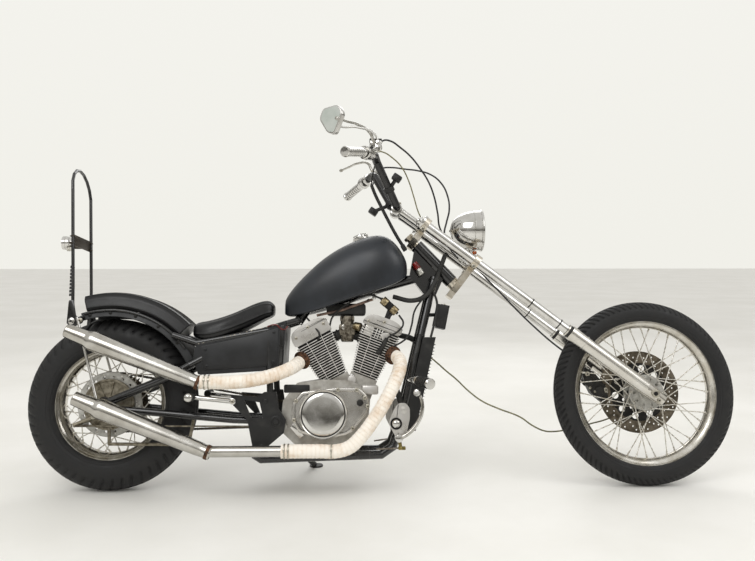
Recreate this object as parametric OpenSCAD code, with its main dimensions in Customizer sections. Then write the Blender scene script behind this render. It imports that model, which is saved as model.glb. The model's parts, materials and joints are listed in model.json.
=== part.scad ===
// Long-fork chopper motorcycle, leaning on its side stand.
// Everything is laid out upright: +X forward, +Y to the rider's left, +Z up.
// Each sub-part is then leaned over about the ground line.

/* [Stance] */
// Lean to the left, on the side stand
lean_angle = 8.3; // [7:0.1:9]
// Distance between the wheel axles
wheelbase = 2020; // [1900:10:2150]

/* [Rear wheel] */
// Outer radius of the rear tyre
rear_tyre_r = 316.5; // [300:0.5:325]
// Crown radius of the rear tyre, half its width
rear_crown_r = 70; // [60:1:72]
// Bead seat radius of the rear rim
rear_rim_r = 196; // [185:1:200]
// Radius of the drum flange that carries the right spokes
rear_drum_r = 119; // [105:1:125]
// Rear axle diameter
rear_axle_d = 17; // [15:0.5:20]
// Teeth on the rear sprocket
sprocket_teeth = 44; // [40:4:44]

/* [Front wheel] */
// Outer radius of the front tyre
front_tyre_r = 347.5; // [335:0.5:355]
// Crown radius of the front tyre, half its width
front_crown_r = 45; // [40:1:48]
// Bead seat radius of the front rim
front_rim_r = 263; // [255:1:268]
// Radius of the front hub flanges
front_flange_r = 68; // [55:1:70]
// Front axle diameter
front_axle_d = 20; // [18:0.5:22]
// Bore through the hollow front axle
front_axle_bore = 12; // [10:0.5:14]
// Radius of the front brake disc
front_disc_r = 158; // [150:1:162]

/* [Spokes] */
// Spokes to a side in each wheel
spokes_side = 12; // [10:2:16]
// Spoke diameter
spoke_d = 4; // [3:0.5:5]

/* [Front end] */
// Steering axis angle above level
head_angle = 46.5; // [45:0.5:48]
// Distance between the fork legs
leg_spacing = 200; // [190:1:210]
// Fork tube diameter
fork_tube_d = 38; // [35:1:41]
// Fork slider diameter
slider_d = 55; // [50:1:58]
// Slider length above the axle
slider_l = 378; // [330:1:420]
// Steering stem diameter
stem_d = 30; // [26:1:32]
// Handlebar tube diameter
bar_d = 31; // [25:1:33]
// Distance between the grip centres
bar_width = 640; // [600:10:680]
// Headlight rim diameter
headlight_d = 168; // [150:1:172]

/* [Frame] */
// Main frame tube diameter
frame_tube_d = 32; // [28:1:34]
// Swingarm tube diameter
arm_tube_d = 30; // [26:1:32]
// Distance between the swingarm tubes
arm_spacing = 220; // [214:1:224]
// Sissy bar rod diameter
sissy_rod_d = 12; // [10:1:14]
// Height of the sissy bar above the ground
sissy_top = 1222; // [1150:1:1260]

/* [Bodywork] */
// Gap between the rear tyre and the fender's crown
fender_gap = 32; // [28:1:40]
// Fender sheet thickness
fender_t = 3; // [2:0.5:4]
// Fender width
fender_w = 190; // [184:1:196]
// Passenger pad thickness
pad_t = 62; // [50:1:66]
// Tank width
tank_w = 250; // [220:1:260]
// Battery box width
box_w = 236; // [230:1:240]

/* [Engine] */
// Crankcase width without its covers
case_w = 210; // [200:1:214]
// How far each engine cover stands out
cover_t = 42; // [36:1:44]
// Backward tilt of the rear cylinder
rear_cyl_tilt = 28; // [26:0.5:29]
// Forward tilt of the front cylinder
front_cyl_tilt = 21; // [20:0.5:23]
// Wrapped exhaust pipe diameter
wrap_d = 51; // [48:1:54]
// Diameter of the mufflers at their big end
muffler_d = 73; // [66:1:76]

/* [Fits] */
// Radial running clearance of axle and stem bores
run_fit = 0.05; // [0.02:0.01:0.1]
// Gap where one fixed piece is seated on another
seat_gap = 0.3; // [0.2:0.1:0.5]

/* [Hidden] */
$fn = 48;
wheel_fn = 180;

// Axle places: the tyres' round crowns touch the ground when leaned
rear_x = -1025.5;
rear_z = rear_tyre_r - rear_crown_r + rear_crown_r / cos(lean_angle);
front_x = rear_x + wheelbase;
front_z = front_tyre_r - front_crown_r + front_crown_r / cos(lean_angle);
rear_axle_p = [rear_x, 0, rear_z];

// The fork line runs from the top caps down to the front axle
fork_top = [136, 996];
fork_rise = fork_top[1] - front_z;
fork_run = front_x - fork_top[0];
fork_angle = atan2(fork_rise, fork_run);
fork_l = norm([fork_rise, fork_run]);
leg_y = leg_spacing / 2;
upper_tree_d = fork_l - 20;
lower_tree_d = fork_l - 258;
tree_t = 24;

// The steering axis passes through this point on the centre plane
head_p = [192, 0, 848];
head_half = 98;

// Height of the plain cylinders' meeting point, the crankshaft
crank_p = [-130, 0, 290];
cyl_base = 135;
cyl_top = 285;
head_top = 322;
cover_top = 368;
cyl_y = 66;

// Chain run
chain_y = 83;
chain_w = 14;
chain_t = 12;
chain_pitch = 15.875;
sprocket_r = sprocket_teeth * chain_pitch / (2 * PI) - chain_t / 2 - 1;
front_sprocket_r = 34;
front_sprocket_p = [-330, chain_y, 265];
rear_pitch_r = sprocket_teeth * chain_pitch / (2 * PI);
front_pitch_r = front_sprocket_r + chain_t / 2;
chain_d = front_sprocket_p - rear_axle_p;
chain_slope = atan2(chain_d[2], chain_d[0]);
chain_lift = acos((rear_pitch_r - front_pitch_r) / norm([chain_d[0], chain_d[2]]));

// Cradle
rail_front = [-20, 92, 133];
rail_rear = [-455, 112, 123];
cradle_joint = rail_front + 0.1 * (rail_rear - rail_front);
rail_end = [-480, 121, 140];
plate_y = 133;
plate_t = 13;
plate_in = plate_y - plate_t / 2 - seat_gap;
pivot_p = [-402, 0, 256];
pivot_d = 22;
arm_y = arm_spacing / 2;
fender_r = rear_tyre_r + fender_gap;

// Grips
grip_in = [-85, bar_width / 2 - 58, 1226];
grip_out = [-150, bar_width / 2 + 58, 1196];
grip_d = 34;

// Side stand
stand_pivot = [-335, 146, 122];
stand_foot_w = [-276, 300];
stand_foot_p = [stand_foot_w[0], stand_foot_w[1] * cos(lean_angle), stand_foot_w[1] * sin(lean_angle)];
stand_folded = [-0.988, 0.148, 0.049];
stand_d = 22;
stand_pin_d = 12;
stand_eye_d = 34;

// Shift that centres the leaned machine over the origin
x_shift = -(rear_x - rear_tyre_r + front_x + front_tyre_r) / 2;
lever_out = grip_out + [-30, 4, 120];
y_most = lever_out[1] * cos(lean_angle) + lever_out[2] * sin(lean_angle) + 6;
y_least = -grip_out[1] * cos(lean_angle) + grip_out[2] * sin(lean_angle) - 13;
y_shift = -(y_most + y_least) / 2;

// The path on the other side, then the path itself
function across(pts) = concat([for (i = [len(pts) - 1 : -1 : 0]) flip(pts[i])], pts);
// Unit vector
function unit(v) = v / norm(v);
// The same point on the other side of the machine
function flip(p) = [p[0], -p[1], p[2]];
stand_axis = unit(cross(stand_foot_p - stand_pivot, stand_folded));
// Point on the fork line, d up from the axle and s towards the steering axis
function fork_p(d, s = 0, y = 0) = [
    front_x - d * cos(fork_angle) - s * sin(fork_angle), y,
    front_z + d * sin(fork_angle) - s * cos(fork_angle)
];
// Place on the steering axis, t up from the head point
function head_at(t) = head_p + t * [-cos(head_angle), 0, sin(head_angle)];
// Where the steering axis meets the plane of a tree at d along the fork
function stem_t(d) =
    (fork_p(d)[0] - head_p[0]) * -cos(fork_angle) / cos(head_angle - fork_angle)
    + (fork_p(d)[2] - head_p[2]) * sin(fork_angle) / cos(head_angle - fork_angle);
// Offset of that meeting point from the fork line
function stem_s(d) =
    (head_at(stem_t(d)) - fork_p(d)) * [-sin(fork_angle), 0, -cos(fork_angle)];

module lean() {
    translate([x_shift, y_shift, 0]) rotate([-lean_angle, 0, 0]) children();
}

// Both sides of the machine
module both_sides() {
    children();
    mirror([0, 1, 0]) children();
}

// Straight round bar from p to q
module bar(p, q, d) {
    v = q - p;
    translate(p) rotate([0, acos(v[2] / norm(v)), atan2(v[1], v[0])]) cylinder(h = norm(v), d = d);
}

// Taper from p to q
module taper(p, q, d1, d2) {
    v = q - p;
    translate(p) rotate([0, acos(v[2] / norm(v)), atan2(v[1], v[0])])
        cylinder(h = norm(v), d1 = d1, d2 = d2);
}

// Bar bent at each inner point
module bent_bar(pts, d) {
    for (i = [0 : len(pts) - 2]) bar(pts[i], pts[i + 1], d);
    for (i = [1 : len(pts) - 2]) translate(pts[i]) sphere(d = 1.02 * d);
}

// Shape drawn in X and Z, as thick as w, centred on y
module side_plate(pts, y, w) {
    translate([0, y + w / 2, 0]) rotate([90, 0, 0]) linear_extrude(w) polygon(pts);
}

// Round bar across the machine from y1 to y2
module cross_bar(x, z, y1, y2, d) {
    translate([x, max(y1, y2), z]) rotate([90, 0, 0]) cylinder(h = abs(y2 - y1), d = d);
}

// Turned about a cross axis; a profile's second coordinate points to the right side
module turned(x, z, a1 = 0, a = 360) {
    translate([x, 0, z]) rotate([90, 0, 0]) rotate([0, 0, a1])
        rotate_extrude(angle = a, $fn = wheel_fn) children();
}

// Local Z runs up the fork, local X forward
module on_fork(d, s = 0, y = 0) {
    translate(fork_p(d, s, y)) rotate([0, fork_angle - 90, 0]) children();
}

// Local Z runs up the steering axis
module on_head(t) {
    translate(head_at(t)) rotate([0, head_angle - 90, 0]) children();
}

// Local Z runs up a cylinder's bore
module on_cylinder(tilt) {
    translate(crank_p) rotate([0, tilt, 0]) children();
}

// Swept round cord through its points, eight-sided
module cord(pts, d) {
    n = len(pts);
    dir = [for (i = [0 : n - 1]) unit(pts[min(i + 1, n - 1)] - pts[max(i - 1, 0)])];
    side = [for (i = [0 : n - 1]) unit(cross(dir[i], [0.13, 0.98, 0.21]))];
    ring = [for (i = [0 : n - 1]) for (k = [0 : 7])
        pts[i] + d / 2 * (cos(45 * k) * side[i] + sin(45 * k) * cross(dir[i], side[i]))];
    faces = concat(
        [for (i = [0 : n - 2]) for (k = [0 : 7])
            [8 * i + k, 8 * i + (k + 1) % 8, 8 * i + 8 + (k + 1) % 8, 8 * i + 8 + k]],
        [[for (k = [7 : -1 : 0]) k]],
        [[for (k = [0 : 7]) 8 * (n - 1) + k]]
    );
    polyhedron(points = ring, faces = faces, convexity = 8);
}

// ---- Wheels ----

// Tyre: a round crown on a bead that fits inside the rim's flanges
module tyre(r, crown, rim_r, bead, x, z) {
    color([0.09, 0.09, 0.09]) turned(x, z) {
        difference() {
            translate([r - crown, 0]) circle(r = crown, $fn = 72);
            translate([0, -crown - 1]) square([rim_r + 10 + seat_gap, 2 * crown + 2]);
        }
        translate([rim_r + seat_gap, seat_gap - bead]) square([20, 2 * bead - 2 * seat_gap]);
    }
}

// Rim with its flanges
module rim(rim_r, bead, x, z) {
    turned(x, z) {
        translate([rim_r - 12, -bead - 4]) square([12, 2 * bead + 8]);
        for (s = [-bead - 4, bead]) translate([rim_r - 12, s]) square([22, 4]);
    }
}

// One side's spokes, from a flange at hub_y to the rim's middle
module spokes(hub_r, hub_y, rim_r, turn, x, z) {
    side = hub_y > 0 ? 1 : -1;
    for (i = [0 : spokes_side - 1]) {
        a = turn + i * 360 / spokes_side;
        bar([x + hub_r * cos(a), hub_y, z + hub_r * sin(a)],
            [x + (rim_r - 8) * cos(a), side * 7, z + (rim_r - 8) * sin(a)], spoke_d);
    }
}

rear_bead = 45;
front_bead = 27;

module rear_tyre() {
    lean() tyre(rear_tyre_r, rear_crown_r, rear_rim_r, rear_bead, rear_x, rear_z);
}

module front_tyre() {
    lean() tyre(front_tyre_r, front_crown_r, front_rim_r, front_bead, front_x, front_z);
}

module rear_wheel() {
    color([0.72, 0.70, 0.66]) lean() difference() {
        union() {
            rim(rear_rim_r, rear_bead, rear_x, rear_z);
            spokes(rear_drum_r - 10, -50, rear_rim_r, 0, rear_x, rear_z);
            spokes(58, 42, rear_rim_r, 180 / spokes_side, rear_x, rear_z);
            cross_bar(rear_x, rear_z, -46, 38, 96);
            cross_bar(rear_x, rear_z, -54, -46, 2 * rear_drum_r);
            cross_bar(rear_x, rear_z, 38, 46, 132);
        }
        cross_bar(rear_x, rear_z, -60, 60, rear_axle_d + 2 * run_fit);
    }
}

module rear_sprocket() {
    color([0.35, 0.33, 0.30]) lean() difference() {
        union() {
            cross_bar(rear_x, rear_z, 46 + seat_gap, 87, 110);
            cross_bar(rear_x, rear_z, chain_y - 3.5, chain_y + 3.5, 2 * sprocket_r);
        }
        cross_bar(rear_x, rear_z, 40, 95, 44);
    }
}

module front_wheel() {
    color([0.72, 0.70, 0.66]) lean() difference() {
        union() {
            rim(front_rim_r, front_bead, front_x, front_z);
            spokes(front_flange_r - 8, -32, front_rim_r, 0, front_x, front_z);
            spokes(front_flange_r - 8, 32, front_rim_r, 180 / spokes_side, front_x, front_z);
            cross_bar(front_x, front_z, -44, 44, 56);
            for (y = [-35, 29]) cross_bar(front_x, front_z, y, y + 6, 2 * front_flange_r);
        }
        cross_bar(front_x, front_z, -60, 60, front_axle_d + 2 * run_fit);
    }
}

// Brake disc bolted to the hub's left flange
module front_disc() {
    color([0.36, 0.33, 0.28]) lean() difference() {
        union() {
            cross_bar(front_x, front_z, 35 + seat_gap, 55, 120);
            cross_bar(front_x, front_z, 50, 55, 2 * front_disc_r);
        }
        cross_bar(front_x, front_z, 30, 60, 56 + 2 * seat_gap);
    }
}

// ---- Frame ----

rail_d = 24;
rail_y = fender_w / 2 + seat_gap + rail_d / 2;
rail_pts = [[-330, 50, 626], [-382, 70, 610], [-438, rail_y, 586], [-700, rail_y, 540],
    [-790, rail_y, 570]];
post_pts = [[-438, rail_y, 582], [-432, rail_y + 4, 470], [-425, plate_y - 6, 352]];
arm_upper = [[rear_x + 14, arm_y, rear_z + 12], [-809, arm_y, 413], [-723, arm_y, 460],
    [-660, arm_y - 6, 494]];
arm_lower = [[rear_x + 14, arm_y, rear_z - 12], [-560, arm_y, 262], [pivot_p[0], arm_y, pivot_p[2]]];

// Head tube, neck gusset, backbone and the rails under the seat
module frame_top() {
    color([0.05, 0.05, 0.05]) lean() difference() {
        union() {
            on_head(-head_half) cylinder(h = 2 * head_half, d = stem_d + 24);
            side_plate([[118, 912], [232, 800], [196, 722], [158, 716], [96, 798]], 0, 38);
            bent_bar([[150, 0, 800], [-300, 0, 674], [-334, 0, 624]], 38);
            bent_bar(across(rail_pts), rail_d);
        }
        on_head(-head_half - 40) cylinder(h = 2 * head_half + 80, d = stem_d + 2 * run_fit);
        on_fork(upper_tree_d) translate([-110, -leg_y, -tree_t / 2 - seat_gap]) cube([130, leg_spacing, 70]);
    }
}

down_pts = [[190, 19 + seat_gap + frame_tube_d / 2, 790], [172, 42, 727], [133, 58, 570], [48, 76, 228],
    [22, 86, 160], rail_front, cradle_joint];

// The two front tubes of the cradle
module down_tubes() {
    color([0.05, 0.05, 0.05]) lean() both_sides() bent_bar(down_pts, frame_tube_d);
}

// The two tubes under the engine
module lower_rails() {
    color([0.05, 0.05, 0.05]) lean() both_sides() {
        bent_bar([cradle_joint + seat_gap * unit(rail_rear - rail_front), rail_rear, rail_end], frame_tube_d);
    }
    color([0.05, 0.05, 0.05]) lean() {
        p = stand_pivot + 16 * stand_axis;
        bent_bar([p, p + [0, -36, 17], [-334, 110, 128]], 14);
        bar(stand_pivot + 8.5 * stand_axis, p + 6 * stand_axis, stand_eye_d);
        bar(stand_pivot - 12 * stand_axis, p, stand_pin_d);
        bar(stand_pivot - 14 * stand_axis, stand_pivot - 8.5 * stand_axis, stand_pin_d + 8);
    }
}

// Plates that hold the swingarm's pivot, with the posts up to the seat rails
module pivot_plates() {
    color([0.06, 0.06, 0.06]) lean() both_sides() {
        difference() {
            union() {
                side_plate([[-566, 352], [-560, 318], [-505, 262], [-485, 168], [-452, 150], [-374, 215],
                    [-366, 262], [-392, 300], [-402, 362], [-446, 362], [-470, 345]], plate_y, plate_t);
                bent_bar(post_pts, rail_d);
            }
            cross_bar(pivot_p[0], pivot_p[2], plate_y - 20, plate_y + 20, pivot_d + 2 * run_fit);
            side_plate([[-520, 335], [-462, 325], [-448, 268], [-490, 268]], plate_y, plate_t + 2);
            bent_bar([rail_rear, rail_end], frame_tube_d + 2 * seat_gap);
            bent_bar(rail_pts, rail_d + 2 * seat_gap);
        }
    }
}

// Swingarm: a triangle of tubes on each side, with its pivot shaft
module swingarm() {
    color([0.05, 0.05, 0.05]) lean() {
        difference() {
            both_sides() {
                bent_bar(arm_upper, arm_tube_d);
                bent_bar(arm_lower, arm_tube_d - 4);
                cross_bar(rear_x, rear_z, arm_y - 11, arm_y + 11, 60);
            }
            cross_bar(rear_x, rear_z, -arm_y - 20, arm_y + 20, rear_axle_d + 2 * run_fit);
        }
        cross_bar(pivot_p[0], pivot_p[2], -plate_y - 10, plate_y + 10, pivot_d);
        bar([-655, -arm_y + 6, 496], [-655, arm_y - 6, 496], arm_tube_d);
    }
}

// Axle with its head, nut and spacers
module rear_axle() {
    color([0.7, 0.7, 0.72]) lean() {
        cross_bar(rear_x, rear_z, -arm_y - 21, arm_y + 21, rear_axle_d);
        both_sides() cross_bar(rear_x, rear_z, arm_y + 11 + seat_gap, arm_y + 21, 30);
        cross_bar(rear_x, rear_z, 47, arm_y - 11 - seat_gap, 28);
        cross_bar(rear_x, rear_z, -arm_y + 11 + seat_gap, -78, 34);
    }
}

// ---- Bodywork ----

// Teardrop tank that sits over the backbone
module fuel_tank() {
    color([0.10, 0.11, 0.13]) lean() difference() {
        hull() {
            for (y = [-1, 1]) {
                translate([-350, y * 28, 668]) sphere(r = 22, $fn = 32);
                translate([-235, y * 40, 800]) sphere(r = 60, $fn = 32);
                translate([-80, y * (tank_w / 2 - 95), 850]) sphere(r = 95, $fn = 32);
                translate([-20, y * (tank_w / 2 - 100), 862]) sphere(r = 98, $fn = 32);
                translate([-190, y * 60, 715]) sphere(r = 40, $fn = 32);
                translate([35, y * (tank_w / 2 - 62), 806]) sphere(r = 50, $fn = 32);
            }
        }
        tank_tunnel();
        filler(seat_gap);
    }
}

// Filler neck, grown by g
module filler(g) {
    translate([-88, 0, 930]) rotate([0, -16, 0]) translate([0, 0, -g]) cylinder(h = 34 + g, d = 58 + 2 * g);
}

// Tunnel along the tank's belly, clear of the backbone and the neck
module tank_tunnel() {
    side_plate([[-420, 678], [130, 832], [150, 640], [-420, 560]], 0, 38 + 2 * seat_gap);
}

module fuel_cap() {
    color([0.8, 0.8, 0.8]) lean() filler(0);
}

// Rider's saddle
module rider_seat() {
    color([0.06, 0.06, 0.06]) lean() hull() {
        for (y = [-1, 1]) {
            translate([-690, y * 88, 588]) sphere(r = 26, $fn = 32);
            translate([-655, y * 92, 588]) sphere(r = 30, $fn = 32);
            translate([-560, y * 80, 622]) sphere(r = 30, $fn = 32);
            translate([-462, y * 38, 676]) sphere(r = 30, $fn = 32);
            translate([-440, y * 38, 654]) sphere(r = 14, $fn = 32);
        }
    }
}

// Passenger's pad, curved over the fender
module passenger_seat() {
    color([0.06, 0.06, 0.06]) lean() turned(rear_x, rear_z, 45, 60) {
        translate([fender_r + fender_t + seat_gap, -70]) square([pad_t, 140]);
        translate([fender_r + fender_t + seat_gap, -85]) square([pad_t - 16, 170]);
    }
}

// Bobbed fender: a crown with short side skirts
module rear_fender() {
    color([0.10, 0.10, 0.11]) lean() turned(rear_x, rear_z, 27, 81) {
        translate([fender_r, -fender_w / 2]) square([fender_t, fender_w]);
        for (s = [-fender_w / 2, fender_w / 2 - fender_t])
            translate([fender_r - 26, s]) square([26, fender_t]);
    }
}

sissy_y = fender_w / 2 + seat_gap + sissy_rod_d / 2;
sissy_bend = sissy_top - sissy_y;

// Hoop behind the passenger
module sissy_bar() {
    foot = [-1162, sissy_y, 622];
    knee = [-1166, sissy_y, 745];
    color([0.05, 0.05, 0.05]) lean() {
        bent_bar(concat([[-1120, sissy_y, 640], foot, knee], [for (a = [0 : 22.5 : 180])
            [-1186 - 12 * sin(a), sissy_y * cos(a), sissy_bend + (sissy_y - 6) * sin(a)]],
            [flip(knee), flip(foot), [-1120, -sissy_y, 640]]), sissy_rod_d);
    }
}

strut_d = 10;

// Rods from the fender down to the swingarm
module fender_struts() {
    strut_y = arm_y + 11 + seat_gap + strut_d / 2;
    color([0.75, 0.75, 0.75]) lean() both_sides()
        bar([-1142, sissy_y + (sissy_rod_d + strut_d) / 2 + seat_gap, 636], [-1050, strut_y, 330], strut_d);
}

// Round lamp on a bracket between the sissy bar's legs
module tail_lamp() {
    color([0.5, 0.08, 0.06]) lean() {
        translate([-1250, 0, 930]) rotate([0, 90, 0]) cylinder(h = 48, d = 50);
        translate([-1203, 0, 930]) rotate([0, 90, 0]) cylinder(h = 28, d = 20);
        translate([-1179, -sissy_y + sissy_rod_d / 2 + seat_gap, 905])
            cube([6, 2 * sissy_y - sissy_rod_d - 2 * seat_gap, 50]);
    }
}

// Electrics box under the seat
module battery_box() {
    color([0.12, 0.12, 0.13]) lean() difference() {
        side_plate([[-712, 470], [-706, 524], [-690, 540], [-493, 584], [-372, 622], [-381, 452],
            [-465, 436], [-683, 424], [-712, 436]], 0, box_w);
        both_sides() {
            bent_bar(rail_pts, rail_d + 2 * seat_gap);
            bent_bar(post_pts, rail_d + 2 * seat_gap);
            bent_bar(arm_upper, arm_tube_d + 2 * seat_gap);
        }
        bar([-655, -arm_y + 6, 496], [-655, arm_y - 6, 496], arm_tube_d + 2 * seat_gap);
        turned(rear_x, rear_z, -5, 40) translate([0, -200]) square([fender_r + fender_t + seat_gap, 400]);
    }
}

// ---- Engine ----

module crankcase() {
    color([0.55, 0.55, 0.55]) lean() difference() {
        union() {
            side_plate([[-392, 225], [-330, 166], [-130, 166], [-72, 215], [-60, 330], [-100, 385],
                [-130, 400], [-240, 405], [-330, 392], [-380, 330]], 0, case_w);
            on_cylinder(-rear_cyl_tilt) deck();
            on_cylinder(front_cyl_tilt) deck();
            cross_bar(-378, 236, -plate_in, plate_in, 30);
            both_sides() engine_mount();
        }
        translate([-400, chain_y - chain_w / 2 - 6, 210]) cube([124, 60, 112]);
        on_cylinder(-rear_cyl_tilt) column_space();
        on_cylinder(front_cyl_tilt) column_space();
    }
    color([0.4, 0.4, 0.4]) lean() cross_bar(front_sprocket_p[0], front_sprocket_p[2], 60, chain_y + 4, 2 * front_sprocket_r - 2 * seat_gap);
}

// Seat for one cylinder on the crankcase
module deck() {
    translate([-52, -cyl_y + 4, 60]) cube([104, 2 * cyl_y - 8, cyl_base - seat_gap - 60]);
}

// Lug down to the cradle tube
module engine_mount() {
    p = rail_front + 0.32 * (rail_rear - rail_front);
    translate([p[0] - 18, 84, p[2] + frame_tube_d / 2 + seat_gap]) cube([36, 20, 50]);
}

module engine_covers() {
    gap = case_w / 2 + seat_gap;
    color([0.7, 0.7, 0.7]) lean() {
        side_plate([[-188, 376], [-102, 376], [-72, 348], [-62, 310], [-72, 286], [-123, 221], [-150, 206],
            [-237, 190], [-320, 218], [-345, 262], [-345, 320], [-310, 362]], -gap - cover_t / 2, cover_t);
        cross_bar(-231, 282, -gap - cover_t - 12, -gap - cover_t, 176);
        side_plate([[-188, 376], [-102, 376], [-72, 348], [-62, 310], [-72, 250], [-123, 205],
            [-290, 196], [-350, 214], [-362, 262], [-350, 318], [-300, 350]], gap + cover_t / 2, cover_t);
        cross_bar(-150, 290, gap + cover_t, gap + cover_t + 12, 150);
    }
}

// Finned barrel, head and head cover in one column
module cylinder_column() {
    rotate([90, 0, 0]) translate([0, 0, -cyl_y]) linear_extrude(2 * cyl_y)
        polygon([[-52, cyl_base], [52, cyl_base], [76, cyl_top], [-76, cyl_top]]);
    rotate([90, 0, 0]) translate([0, 0, -cyl_y + 6]) linear_extrude(2 * cyl_y - 12)
        polygon([[-74, cyl_top], [74, cyl_top], [74, head_top], [-74, head_top]]);
    rotate([90, 0, 0]) translate([0, 0, -cyl_y]) linear_extrude(2 * cyl_y)
        polygon([[-76, head_top], [76, head_top], [70, cover_top - 10], [40, cover_top],
            [-40, cover_top], [-70, cover_top - 16]]);
}

module cylinders() {
    color([0.62, 0.62, 0.62]) lean() {
        on_cylinder(-rear_cyl_tilt) cylinder_column();
        on_cylinder(front_cyl_tilt) cylinder_column();
    }
}

// Pair of carburettors in the vee, with their stubs to the heads
module carburettors() {
    color([0.3, 0.3, 0.3]) lean() difference() {
        union() {
            translate([-178, -58, 546]) cube([64, 116, 96]);
            translate([-220, -22, 560]) cube([140, 44, 44]);
        }
        on_cylinder(-rear_cyl_tilt) column_space();
        on_cylinder(front_cyl_tilt) column_space();
    }
}

// Space that a cylinder column takes, with the seat gap
module column_space() {
    w = cyl_y + seat_gap;
    translate([-76 - seat_gap, -w, cyl_base - seat_gap]) cube([152 + 2 * seat_gap, 2 * w, 260]);
}

module ignition_coil() {
    color([0.45, 0.42, 0.38]) lean() {
        bar([-14, -70, 704], [42, -70, 652], 34);
        on_cylinder(front_cyl_tilt) translate([-5, -60, cover_top + seat_gap]) cylinder(h = 40, d = 14);
    }
}

radiator_w = 160;

module radiator() {
    color([0.06, 0.06, 0.06]) lean() difference() {
        side_plate([[140, 560], [188, 560], [108, 215], [60, 215]], 0, radiator_w);
        both_sides() bent_bar(down_pts, frame_tube_d + 2 * seat_gap);
    }
}

module regulator() {
    color([0.05, 0.05, 0.05]) lean() difference() {
        union() {
            translate([196, -34, 598]) rotate([0, 12, 0]) cube([34, 68, 92]);
            bar([212, 0, 650], [150, 0, 646], 14);
            cross_bar(150, 646, -50, 50, 16);
        }
        both_sides() bent_bar(down_pts, frame_tube_d + 2 * seat_gap);
    }
}

// ---- Exhaust ----

rear_pipe = [[-300, -44, 486], [-356, -140, 444], [-452, -171, 412], [-545, -172, 399], [-683, -172, 399]];
front_pipe = [[34, -50, 492], [52, -84, 478], [50, -130, 446], [38, -164, 410], [4, -183, 350], [-45, -185, 270],
    [-102, -185, 198], [-135, -185, 170], [-180, -185, 156], [-640, -185, 157]];

module exhaust_pipes() {
    color([0.9, 0.86, 0.76]) lean() {
        difference() {
            bent_bar(rear_pipe, wrap_d);
            on_cylinder(-rear_cyl_tilt) column_space();
        }
        difference() {
            bent_bar(front_pipe, wrap_d);
            on_cylinder(front_cyl_tilt) column_space();
        }
    }
}

// Cone muffler from its narrow front end to its blunt tip
module muffler(front, tip) {
    v = tip - front;
    r = muffler_d / 2;
    translate(front) rotate([0, acos(v[2] / norm(v)), atan2(v[1], v[0])]) rotate_extrude()
        polygon([[0, 0], [wrap_d / 2 - 3, 0], [r, 405], [r - 6, 425], [r - 7, 425], [r - 12, 508], [0, 508]]);
}

module mufflers() {
    color([0.8, 0.79, 0.77]) lean() {
        muffler([-683.5, -172, 399], [-1160, -173, 587]);
        muffler([-640.5, -185, 157], [-1104, -186, 342]);
    }
}

// ---- Controls on the frame ----

// Bracket and foot peg in front of the engine, on each side
module forward_controls() {
    color([0.75, 0.75, 0.75]) lean() both_sides() difference() {
        union() {
            bar([46, 80, 236], [46, 176, 236], 30);
            side_plate([[34, 323], [74, 318], [84, 296], [60, 196], [24, 196], [8, 250]], 178, 12);
            bar([86, 70, 400], [104, 130, 402], 20);
            bar([104, 126, 402], [152, 236, 390], 40);
        }
        bent_bar(down_pts, frame_tube_d + 2 * seat_gap);
    }
}

// Brake pedal on the right and gear lever on the left
module foot_levers() {
    color([0.85, 0.84, 0.8]) lean() both_sides() {
        bent_bar([[40, 200, 200], [96, 206, 242], [126, 206, 300], [112, 206, 356]], 14);
        bar([108, 206, 356], [100, 250, 362], 26);
        cross_bar(40, 200, 184 + seat_gap, 206, 34);
        bent_bar([[40, 196, 200], [44, 196, 172]], 12);
    }
}

module passenger_pegs() {
    color([0.75, 0.75, 0.75]) lean() both_sides() {
        bar([-556, plate_y + 22, 330], [-704, 158, 346], 20);
        cross_bar(-556, 330, plate_y + plate_t / 2 + seat_gap, plate_y + 34, 24);
        bar([-704, 146, 346], [-704, 226, 346], 30);
    }
}

// Drum brake's fixed panel, its arm, stay and rod
module rear_brake() {
    color([0.3, 0.29, 0.22]) lean() difference() {
        union() {
            cross_bar(rear_x, rear_z, -68, -60, 186);
            cross_bar(rear_x, rear_z, -78 + seat_gap, -66, 60);
            bar([-1075, -74, 272], [-1146, -82, 242], 16);
            bar([-1075, -64, 272], [-1075, -80, 272], 22);
            bent_bar([[-1020, -68, 240], [-1012, -84, 176], [-724, -84, 172], [-706, -97, 262]], 12);
            bar([-1146, -86, 242], [-470, -90, 236], 6);
        }
        mirror([0, 1, 0]) bent_bar(arm_lower, arm_tube_d - 4 + 2 * seat_gap);
        cross_bar(rear_x, rear_z, -100, -40, rear_axle_d + 2 * run_fit);
    }
}

// Chain run's outline, drawn g outside the pitch line
function run_arc(c, r, a1, a2) = [for (i = [0 : 24]) c + r * [cos(a1 + i * (a2 - a1) / 24), sin(a1 + i * (a2 - a1) / 24)]];
function chain_line(g) = concat(
    run_arc([rear_x, rear_z], rear_pitch_r + g, chain_slope + chain_lift, chain_slope + 360 - chain_lift),
    run_arc([front_sprocket_p[0], front_sprocket_p[2]], front_pitch_r + g, chain_slope - chain_lift,
        chain_slope + chain_lift)
);

module drive_chain() {
    color([0.25, 0.23, 0.2]) lean() translate([0, chain_y + chain_w / 2, 0]) rotate([90, 0, 0])
        linear_extrude(chain_w) difference() {
            polygon(chain_line(chain_t / 2));
            polygon(chain_line(-chain_t / 2));
        }
}

// ---- Front end ----

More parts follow.
